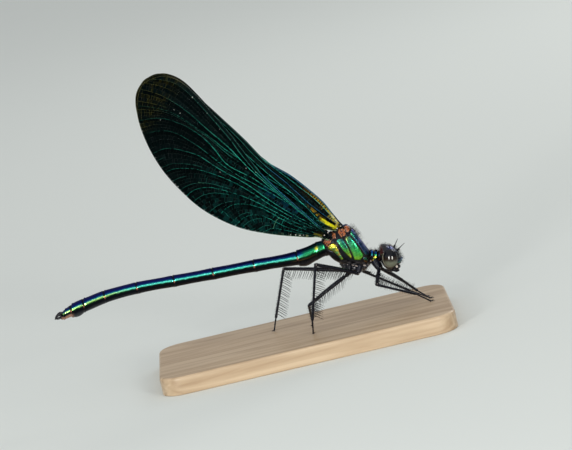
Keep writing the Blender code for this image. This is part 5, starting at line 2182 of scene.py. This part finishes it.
    def small_eyes(self) -> None:
        """Set three glassy beads on the crown."""
        beads = Shell()
        for x, y, z in ((20.18, 0.0, 10.93), (19.9, 0.3, 11.1), (19.9, -0.3, 11.1)):
            beads.add_ball((x, y, z), (0.105, 0.105, 0.105), None, 18)
        hand_over(beads.piece("small_eyes", Paintbox.get(BEAD)), Slot.EYE)

    def eye(self, side: Side) -> None:
        """Build one compound eye with its two painted highlights, and the rim behind it.

        Args:
            side: The side it is on.
        """
        centre = np.array(self.eye_centre) * (1, side.value, 1)
        seed = new_piece("eye_seed", [centre], [])
        eye = grow(Kit.facet, f"eye_{side.word}_lens", seed, Rounds=6, Dome=0.0021,
                   Half_Sizes=tuple(r * MM for r in self.eye_radii), Middle=tuple(centre * MM),
                   Finish=Paintbox.get(EYE))
        points = read_points(eye.data)
        x, y, z = ((points - centre) / self.eye_radii).T
        level = z + 0.1 * x + 0.06 * wave_noise(points, 0.5, 6)
        shades = mix((0.135, 0.145, 0.105), (0.016, 0.008, 0.004), smooth(-0.45, 0.02, level))
        shades = mix(shades, (0.002, 0.003, 0.005), smooth(0.1, 0.45, level))
        edge = smooth(0.62, 0.86, np.hypot(x, z)) * smooth(0.7, 0.3, np.abs(y))
        shades = mix(shades, (0.004, 0.004, 0.004), 0.9 * edge * smooth(-0.3, 0.3, x))
        # Painted highlights: two pale ovals on the near eye stand for the reflections of the two
        # front lamps.
        for place_x, place_z in self.painted_catchlights:
            gap_x, gap_z = points[:, 0] - place_x, points[:, 2] - place_z
            tilt = gap_x - 0.2 * gap_z
            painted_catchlight = smooth(1.15, 0.7, np.hypot(tilt / 0.085, gap_z / 0.23))
            shades = mix(shades, (0.62, 0.6, 0.56), painted_catchlight * (points[:, 1] * side.value > 2.0))
        paint(eye.data, "shade", shades)
        hand_over(eye, Slot.EYE, f"eye_{side.word}")
        angles = np.radians(np.linspace(118, 246, 60))
        arc = np.column_stack([centre[0] + 1.045 * np.cos(angles) * self.eye_radii[0],
                               np.full(60, centre[1] + side.value * 0.02),
                               centre[2] + 1.03 * np.sin(angles) * self.eye_radii[2]])
        rim = Shell()
        radii = 0.06 * np.sin(np.linspace(0.12, math.pi - 0.12, 60)) ** 0.5
        rim.add_tube(arc, radii, 12)
        hand_over(rim.piece(f"eye_rim_{side.word}", Paintbox.get(RIM)), Slot.HEAD)

    def feeler(self, side: Side, root: Point3, knee: Point3, tip: Point3) -> None:
        """Build one feeler: a thick first third, then a thread of fine joints.

        Args:
            side: The side it is on.
            root: Its root.
            knee: Where it bends.
            tip: Its tip.
        """
        turn = np.array((1, side.value, 1))
        path = even_line(np.array([root, knee, tip]) * turn, 90)
        share = np.linspace(0, 1, 90)
        radii = np.interp(share, [0, 0.05, 0.14, 0.18, 0.3, 0.37, 0.41, 0.7, 1],
                          [0.15, 0.18, 0.16, 0.11, 0.13, 0.12, 0.062, 0.05, 0.022])
        radii = radii * (1 + 0.1 * np.sin(share * 62) * smooth(0.42, 0.5, share))
        bow = np.sin(share * math.pi)[:, None] * np.array([[0.02, 0.03 * side.value, 0.03]])
        shell = Shell()
        shell.add_tube(path + bow, radii, 14)
        piece = shell.piece(f"antenna_{side.word}_thread", Paintbox.get(BLACK_SHELL))
        hand_over(piece, Slot.HEAD, f"antenna_{side.word}")

    def build(self) -> None:
        """Build the whole head."""
        self.skull()
        self.mouth()
        self.small_eyes()
        for side in Side:
            self.eye(side)
        self.feeler(Side.RIGHT, (20.45, 0.72, 10.15), (21.08, 1.0, 10.66), (21.86, 1.3, 11.22))
        self.feeler(Side.LEFT, (20.25, 0.75, 10.35), (20.72, 1.02, 10.92), (21.2, 1.35, 11.52))


# Legs

@dataclass(frozen=True)
class Leg:
    """One leg by its joints, from its root in the body to its toe, and its claws' heading."""

    place: str
    root: Point3
    hip: Point3
    knee: Point3
    ankle: Point3
    toe: Point3
    heading: float

    def joints(self) -> list[Array]:
        """Give the joints as arrays."""
        return list(np.array((self.root, self.hip, self.knee, self.ankle, self.toe), float))


TOE_HEIGHT = 2.56
LEGS = (
    Leg("front_right", (17.45, -0.35, 9.7), (17.76, -0.95, 8.45), (16.91, -4.6, 7.19),
        (21.86, -1.5, 4.1), (23.61, -0.73, TOE_HEIGHT), 0.0),
    Leg("front_left", (17.5, 0.35, 9.7), (18.15, 1.0, 8.1), (20.63, 4.6, 5.15),
        (22.25, 1.95, 3.8), (23.69, 1.3, TOE_HEIGHT), -10.0),
    Leg("middle_right", (15.45, -0.6, 9.8), (14.85, -1.4, 8.65), (9.55, -5.9, 11.99),
        (7.5, -4.9, 4.51), (7.2, -3.9, TOE_HEIGHT), 70.0),
    Leg("middle_left", (15.55, 0.6, 9.8), (15.55, 1.4, 8.5), (15.58, 7.0, 7.26),
        (21.32, 3.6, 3.7), (23.34, 2.8, TOE_HEIGHT), -15.0),
    Leg("hind_right", (14.0, -0.6, 10.1), (13.65, -1.3, 8.9), (7.49, -3.6, 6.33),
        (7.49, -0.2, 3.6), (7.32, 1.1, TOE_HEIGHT), 95.0),
    Leg("hind_left", (14.1, 0.6, 10.1), (14.0, 1.3, 8.75), (5.29, 4.3, 10.49),
        (2.74, 4.1, 4.15), (2.15, 4.0, TOE_HEIGHT), -110.0),
)


@dataclass
class Legs:
    """The six legs with their bristles."""

    spacing: float = 0.31
    femur_radius: float = 0.25
    tibia_radius: float = 0.165
    femur_reach: float = 1.15
    tibia_reach: float = 1.3
    roots: list[Array] = field(default_factory=list)
    aims: list[Array] = field(default_factory=list)
    leans: list[Array] = field(default_factory=list)
    long: list[float] = field(default_factory=list)
    thick: list[float] = field(default_factory=list)
    bake: list[Point2] = field(default_factory=list)
    bake_rows: int = 97
    bake_length: float = 12.0

    def __post_init__(self) -> None:
        """Start the seeded draw."""
        self.draw = np.random.default_rng(5)

    @staticmethod
    def tapered(shell: Shell, start: Array, end: Array, profile: Sequence[Point2],
                radius: float, bow: Array | None = None, ridges: float = 0.05) -> None:
        """Add one limb section whose radius follows a profile of (place, share).

        Args:
            shell: The shell to add it to.
            start: One end.
            end: The other end.
            profile: Its radius as (place, share).
            radius: The radius at a share of one.
            bow: How far its middle bows, if it does.
            ridges: How far its ridges stand out.
        """
        share = np.linspace(0, 1, 46)
        path = start + (end - start) * share[:, None]
        if bow is not None:
            path = path + np.sin(share * math.pi)[:, None] * bow
        places, sizes = np.array(profile).T
        shell.add_tube(path, radius * np.interp(share, places, sizes), 18, ridges)

    def row(self, start: Array, end: Array, side: Array, radius: float, reach: float,
            rise: float) -> None:
        """Plan one row of bristles along a limb section.

        Args:
            start: One end of the section.
            end: The other end.
            side: The way the row faces.
            radius: The section's radius.
            reach: The bristles' length.
            rise: How far they lean towards the end.
        """
        line = end - start
        length = np.linalg.norm(line)
        line = line / length
        side = unit(side - line * (side @ line))
        count = max(int((length - 0.5) / self.spacing), 1)
        for number in range(count):
            along = 0.3 + (number + 0.15 * math.sin(number * 2.4)) * self.spacing
            aim = unit(side + line * rise + self.draw.normal(0, 0.018, 3))
            fade = min(1.0, 0.55 + along / 1.5, 0.55 + (length - along) / 1.5)
            self.roots.append(start + line * along + side * radius * 0.8)
            self.aims.append(aim)
            self.leans.append(line)
            self.long.append(reach * fade * self.draw.uniform(1.0, 1.15))
            self.thick.append(0.013 + 0.016 * reach)
            row = len(self.bake) % self.bake_rows
            self.bake.append((0.02 + 0.96 * along / self.bake_length,
                              0.02 + 0.96 * row / self.bake_rows))

    def bristles(self, start: Array, end: Array, radius: float, reach: float,
                 down: Array) -> None:
        """Plan the two long rows beneath a section and the short ones above.

        Args:
            start: One end.
            end: The other end.
            radius: The section's radius.
            reach: The long bristles' length.
            down: The way the long rows face.
        """
        across = unit(np.cross(unit(end - start), down))
        for sign in (-1, 1):
            self.row(start, end, down + across * 0.11 * sign, radius, reach, 0.3)
            self.row(start, end, -down + across * 0.9 * sign, radius, reach * 0.28, 0.6)

    def foot(self, shell: Shell, leg: Leg, ankle: Array, toe: Array) -> None:
        """Add the three foot joints, the two claws and their pads.

        Args:
            shell: The shell to add it to.
            leg: The leg.
            ankle: Where the foot starts.
            toe: Where it ends.
        """
        marks = [0.0, 0.24, 0.56, 1.0]
        line = toe - ankle
        for first, last in zip(marks, marks[1:]):
            self.tapered(shell, ankle + line * first, ankle + line * (last + 0.02),
                         ((0, 0.62), (0.12, 0.85), (0.8, 1.0), (0.94, 1.12), (1, 0.8)), 0.105)
        angle = math.radians(leg.heading)
        ahead = np.array([math.cos(angle), math.sin(angle), 0.0])
        aside = np.array([-math.sin(angle), math.cos(angle), 0.0])
        for sign in (-1, 1):
            hook = [toe, toe + ahead * 0.16 + aside * sign * 0.07 + (0, 0, 0.06),
                    toe + ahead * 0.34 + aside * sign * 0.15 + (0, 0, 0.05),
                    toe + ahead * 0.48 + aside * sign * 0.19 + (0, 0, -0.07)]
            shell.add_tube(spline(hook, 22), np.linspace(0.062, 0.012, 22), 12)
            shell.add_ball(toe + ahead * 0.2 + aside * sign * 0.09 + (0, 0, -0.01),
                           (0.06, 0.05, 0.05), None, 12)

    def build_leg(self, leg: Leg) -> None:
        """Build one leg's shell and plan its bristles.

        Args:
            leg: The leg.
        """
        root, hip, knee, ankle, toe = leg.joints()
        shell = Shell()
        self.tapered(shell, root, hip, ((0, 1.4), (0.4, 1.3), (0.7, 1.05), (0.9, 0.82), (1, 0.6)),
                     0.4, ridges=0.03)
        thigh, shin = unit(knee - hip), unit(ankle - knee)
        shell.add_ball(hip, (0.27, 0.27, 0.25), None, 22)
        self.tapered(shell, hip, hip + thigh * 0.55,
                     ((0, 0.9), (0.5, 1.12), (0.85, 1.05), (1, 0.8)), 0.235, ridges=0.02)
        bow = np.array([0, 0, 0.06])
        self.tapered(shell, hip + thigh * 0.5, knee, ((0, 0.72), (0.08, 1.0), (0.3, 1.1),
                     (0.75, 0.92), (0.93, 0.86), (0.98, 0.95), (1, 0.6)), self.femur_radius, bow)
        shell.add_ball(knee, (0.19, 0.19, 0.19), None, 20)
        self.tapered(shell, knee, ankle, ((0, 0.9), (0.05, 1.15), (0.12, 1.0), (0.6, 0.92),
                     (0.92, 1.0), (0.98, 1.12), (1, 0.8)), self.tibia_radius)
        self.foot(shell, leg, ankle, toe)
        piece = shell.piece(f"leg_{leg.place}", Paintbox.get(LEG_SHELL))
        hand_over(piece, Slot.BLACK, *(f"{part}_{leg.place}" for part in
                                       ("coxa", "femur", "tibia", "tarsus")))
        joints = Shell()
        fold = unit(np.cross(thigh, shin))
        for sign in (-1, 1):
            at_knee = knee + fold * sign * 0.125 - thigh * 0.02
            at_hip = hip + fold * sign * 0.2 - thigh * 0.05
            joints.add_ball(at_knee, (0.09, 0.09, 0.09), None, 14)
            joints.add_ball(at_hip, (0.12, 0.11, 0.11), None, 14)
        hand_over(joints.piece(f"leg_joints_{leg.place}", Paintbox.get(SOFT)), Slot.BLACK)
        flat = np.array([1, 0.3, 1])
        for start, end, along, towards, radius, reach in (
                (hip + thigh * 0.5, knee, thigh, shin * flat, self.femur_radius, self.femur_reach),
                (knee, ankle, shin, -thigh * flat, self.tibia_radius, self.tibia_reach)):
            inner = unit(towards - along * (towards @ along))
            self.bristles(start, end, radius, reach, inner)

    def build(self) -> None:
        """Build every leg, then plant all of their bristles."""
        for leg in LEGS:
            self.build_leg(leg)
        planned = (self.roots, self.aims, self.leans, self.long, self.thick)
        plant("leg_bristles", *map(np.array, planned), BRISTLE, Slot.BLACK,
              np.array(self.bake), bend=0.12)


# Hairs, tail, stand

@dataclass
class Hairs:
    """The fine hairs on the crown, the face and the front and top of the thorax."""

    seed: int = 12
    radius: float = 0.0058
    sunk: float = 0.02
    unruly: float = 0.22

    def build(self, skins: Sequence[tuple[bpy.types.Object, Callable[[Array, Array], Array],
                                          int, float]]) -> None:
        """Plant hairs on each skin where its mask allows.

        Args:
            skins: Object, mask of places and normals, number of hairs and their length.
        """
        draw = np.random.default_rng(self.seed)
        for number, (skin, mask, count, reach) in enumerate(skins):
            points, normals = read_points(skin.data), read_normals(skin.data)
            chance = mask(points, normals)
            chosen = draw.choice(len(points), count, p=chance / chance.sum(), replace=True)
            roots = points[chosen] - normals[chosen] * self.sunk
            comb = draw.normal(0, self.unruly, (count, 3)) + (0.12, 0, 0.1)
            aims = unit(normals[chosen] + comb)
            leans = np.cross(aims, draw.normal(size=(count, 3)))
            long = reach * draw.uniform(0.55, 1.1, count)
            box = points.max(axis=0) - points.min(axis=0)
            sheet = (points[chosen] - points.min(axis=0)) / box
            plant(f"hairs_{number + 1}", roots, aims, leans, long,
                  np.full(count, self.radius), HAIR, Slot.BODY, sheet[:, [0, 2]] * 0.9 + 0.05,
                  bend=0.18)


@dataclass(frozen=True)
class Clasper:
    """One kind of clasper at the tail's end, from its root inside the last segment.

    Its root lies out and up from the tail's middle. It bows out, arches up, closes in and
    falls towards its tip, and its profile gives the radius as (place, share).
    """

    name: str
    long: float
    out: float
    up: float
    bow: float
    arch: float
    closing: float
    fall: float
    radius: float
    profile: tuple[Point2, ...]
    steps: int
    sides: int

    def build(self, start: Array, back: Array, side: Side) -> None:
        """Build one clasper and hand it over.

        Args:
            start: The middle of the tail's end.
            back: The way the tail points.
            side: The side it is on.
        """
        places, sizes = np.array(self.profile).T
        share = np.linspace(places[0], 1, self.steps)
        past = np.clip(share, 0, 1)
        bow = np.sin(past * math.pi)
        path = start + back * (0.28 + self.long * share)[:, None]
        path[:, 1] += side.value * (self.out + self.bow * bow - self.closing * past**2)
        path[:, 2] += self.up + self.arch * bow - self.fall * past**2
        shell = Shell()
        shell.add_tube(path, self.radius * np.interp(share, places, sizes), self.sides)
        node = f"{self.name}_{side.word}"
        hand_over(shell.piece(f"{node}_clasper", Paintbox.get(BLACK_SHELL)), Slot.BLACK, node)


CLASPERS = (
    Clasper("cercus", 1.03, 0.28, 0.18, 0.34, 0.12, 0.1, 0.3, 0.19,
            ((-0.22, 0.7), (0, 0.95), (0.15, 1.1), (0.5, 0.66), (0.85, 0.7), (1, 0.25)), 44, 20),
    Clasper("paraproct", 0.84, 0.26, -0.26, 0.0, 0.0, 0.04, -0.1, 0.16,
            ((-0.3, 0.7), (0, 1.0), (0.2, 1.0), (0.8, 0.6), (1, 0.25)), 30, 18),
)


@dataclass
class Tail:
    """The four claspers at the tail's end."""

    claspers: tuple[Clasper, ...] = CLASPERS

    def build(self) -> None:
        """Build the two curved upper claspers and the two short lower ones."""
        before, start = (np.array([x, 0.0, z]) for x, z in ABDOMEN_JOINTS[-2:])
        for side in Side:
            for clasper in self.claspers:
                clasper.build(start, unit(start - before), side)


@dataclass
class Stand:
    """The pale wooden plate that the feet stand on."""

    front: float = 26.15
    rear: float = -14.0
    half_width: float = 11.0
    top: float = 2.44
    corner: float = 3.0
    edge: float = 0.4

    def build(self) -> None:
        """Build the plate with round corners and a soft upper edge."""
        turns = np.linspace(0, math.pi / 2, 14)
        rings = []
        layers = [(0.0, 0.12), (0.1, 0.0), (self.top - self.edge, 0.0)]
        layers += [(self.top - self.edge * (1 - math.sin(a)), self.edge * (1 - math.cos(a)))
                   for a in np.linspace(0.15, math.pi / 2, 9)]
        middle_x, half = (self.front + self.rear) / 2, (self.front - self.rear) / 2
        for height, inset in layers:
            ring = []
            for quarter, (sx, sy) in enumerate(((1, 1), (-1, 1), (-1, -1), (1, -1))):
                radius = self.corner - inset
                for turn in turns:
                    angle = turn + quarter * math.pi / 2
                    ring.append((middle_x + sx * (half - self.corner) + radius * math.cos(angle),
                                 sy * (self.half_width - self.corner) + radius * math.sin(angle),
                                 height))
            rings.append(ring)
        shell = Shell()
        shell.add_loft(np.array(rings))
        hand_over(shell.piece("stand_plate", Paintbox.get(WoodFinish()), 35), Slot.BASE,
                  "stand_base")


# Studio

@dataclass
class Studio:
    """The plain floor, the soft lights and the camera."""

    aim: Point3 = (6.966, 0.0, 17.043)
    eye: Point3 = (6.966, -443.16, 95.19)
    lens: float = 211.356
    elevation: float = 10.0
    roll: float = 13.2
    middle: Point3 = (5.0, 0.0, 14.0)
    sky_watts: float = 0.95
    sky_angle: float = 120.0
    sky_from: Point3 = (-0.25, -0.35, 0.9)
    room: float = 6000.0
    room_tone: Colour = (0.93, 0.96, 1.0)
    room_strength: float = 0.36

    def axes(self) -> tuple[Vector, Vector, Vector]:
        """Give the camera's right, up and backward directions.

        Returns:
            The three directions.
        """
        lift, roll = math.radians(self.elevation), math.radians(self.roll)
        rise = Vector((0, math.sin(lift), math.cos(lift)))
        side = Vector((1, 0, 0))
        right = side * math.cos(roll) - rise * math.sin(roll)
        up = side * math.sin(roll) + rise * math.cos(roll)
        return right, up, right.cross(up)

    def camera(self) -> None:
        """Set up the camera, turned with the animal."""
        lens = bpy.data.cameras.new("camera")
        lens.lens = self.lens
        lens.clip_start = 0.01
        camera = placed("camera", lens)
        turn = Matrix(self.axes()).transposed().to_4x4()
        camera.matrix_world = Matrix.Translation(Vector(self.eye) * MM) @ turn
        bpy.context.scene.camera = camera

    def softbox(self, name: str, place: Point3, size: Point2, watts: float,
                colour: Colour = (1.0, 1.0, 1.0)) -> None:
        """Hang one soft light that faces the animal's middle.

        Args:
            name: The light's name.
            place: Where it hangs.
            size: Its width and height.
            watts: Its power.
            colour: Its colour.
        """
        lamp = bpy.data.lights.new(name, "AREA")
        lamp.shape = "RECTANGLE"
        lamp.size, lamp.size_y = size[0] * MM, size[1] * MM
        lamp.energy = watts
        lamp.color = colour
        turn = self.facing(Vector(place) - Vector(self.middle))
        placed(name, lamp).matrix_world = Matrix.Translation(Vector(place) * MM) @ turn

    @staticmethod
    def facing(back: Vector) -> Matrix:
        """Give the turn of a lamp whose back points this way."""
        return back.to_track_quat("Z", "Y").to_matrix().to_4x4()

    def skylight(self) -> None:
        """Light everything evenly from above with one broad soft source."""
        lamp = bpy.data.lights.new("skylight", "SUN")
        lamp.energy = self.sky_watts
        lamp.angle = math.radians(self.sky_angle)
        placed("skylight", lamp).matrix_world = self.facing(Vector(self.sky_from))

    def build(self) -> None:
        """Lay the floor, hang the lights, set the world and the camera."""
        corners = np.array([(-1, -1, 0), (1, -1, 0), (1, 1, 0), (-1, 1, 0)]) * self.room
        floor = new_piece("studio_floor", corners, [(0, 1, 2, 3)], Paintbox.get(FLOOR))
        world = bpy.data.worlds.new("soft_room")
        world.use_nodes = True
        sky = world.node_tree.nodes["Background"]
        sky.inputs["Color"].default_value = (*self.room_tone, 1.0)
        sky.inputs["Strength"].default_value = self.room_strength
        bpy.context.scene.world = world
        self.skylight()
        self.softbox("twin_near", (-215, -365, 95), (50, 130), 0.75)
        self.softbox("twin_far", (190, -405, 95), (50, 130), 0.75)
        self.softbox("line_strip", (-90, -330, 215), (260, 26), 0.07, (0.92, 0.98, 1.0))
        self.softbox("rim", (240, 300, 200), (160, 160), 0.3)
        bpy.context.scene.view_settings.view_transform = "Standard"
        self.camera()


def main() -> None:
    """Build the damselfly and its studio."""
    logging.basicConfig(level=logging.INFO, format="%(message)s")
    Kit.build()
    Studio().build()
    Stand().build()
    skin = BodySkin().build()
    Head().build()
    Wings().build()
    Legs().build()
    Tail().build()
    head = bpy.data.objects["head_shell"]
    Hairs().build([
        (head, lambda p, n: smooth(9.6, 10.9, p[:, 2]) * smooth(0.0, 0.3, n[:, 2]) + 1e-9,
         650, 0.36),
        (head, lambda p, n: smooth(20.3, 20.8, p[:, 0]) * smooth(8.4, 8.9, p[:, 2]) + 1e-9,
         380, 0.5),
        (skin, lambda p, n: smooth(15.0, 15.7, p[:, 0]) * smooth(10.9, 11.6, p[:, 2])
         * smooth(0.9, 0.2, np.abs(p[:, 1])) + 1e-9, 240, 0.65),
        (skin, lambda p, n: smooth(10.8, 9.8, p[:, 2]) * smooth(12.5, 13.3, p[:, 0]) + 1e-9,
         900, 0.35),
        (skin, lambda p, n: smooth(10.2, 10.9, p[:, 2]) * smooth(16.9, 17.2, p[:, 0]) + 1e-9,
         250, 0.35),
    ])


if __name__ == "__main__":
    main()
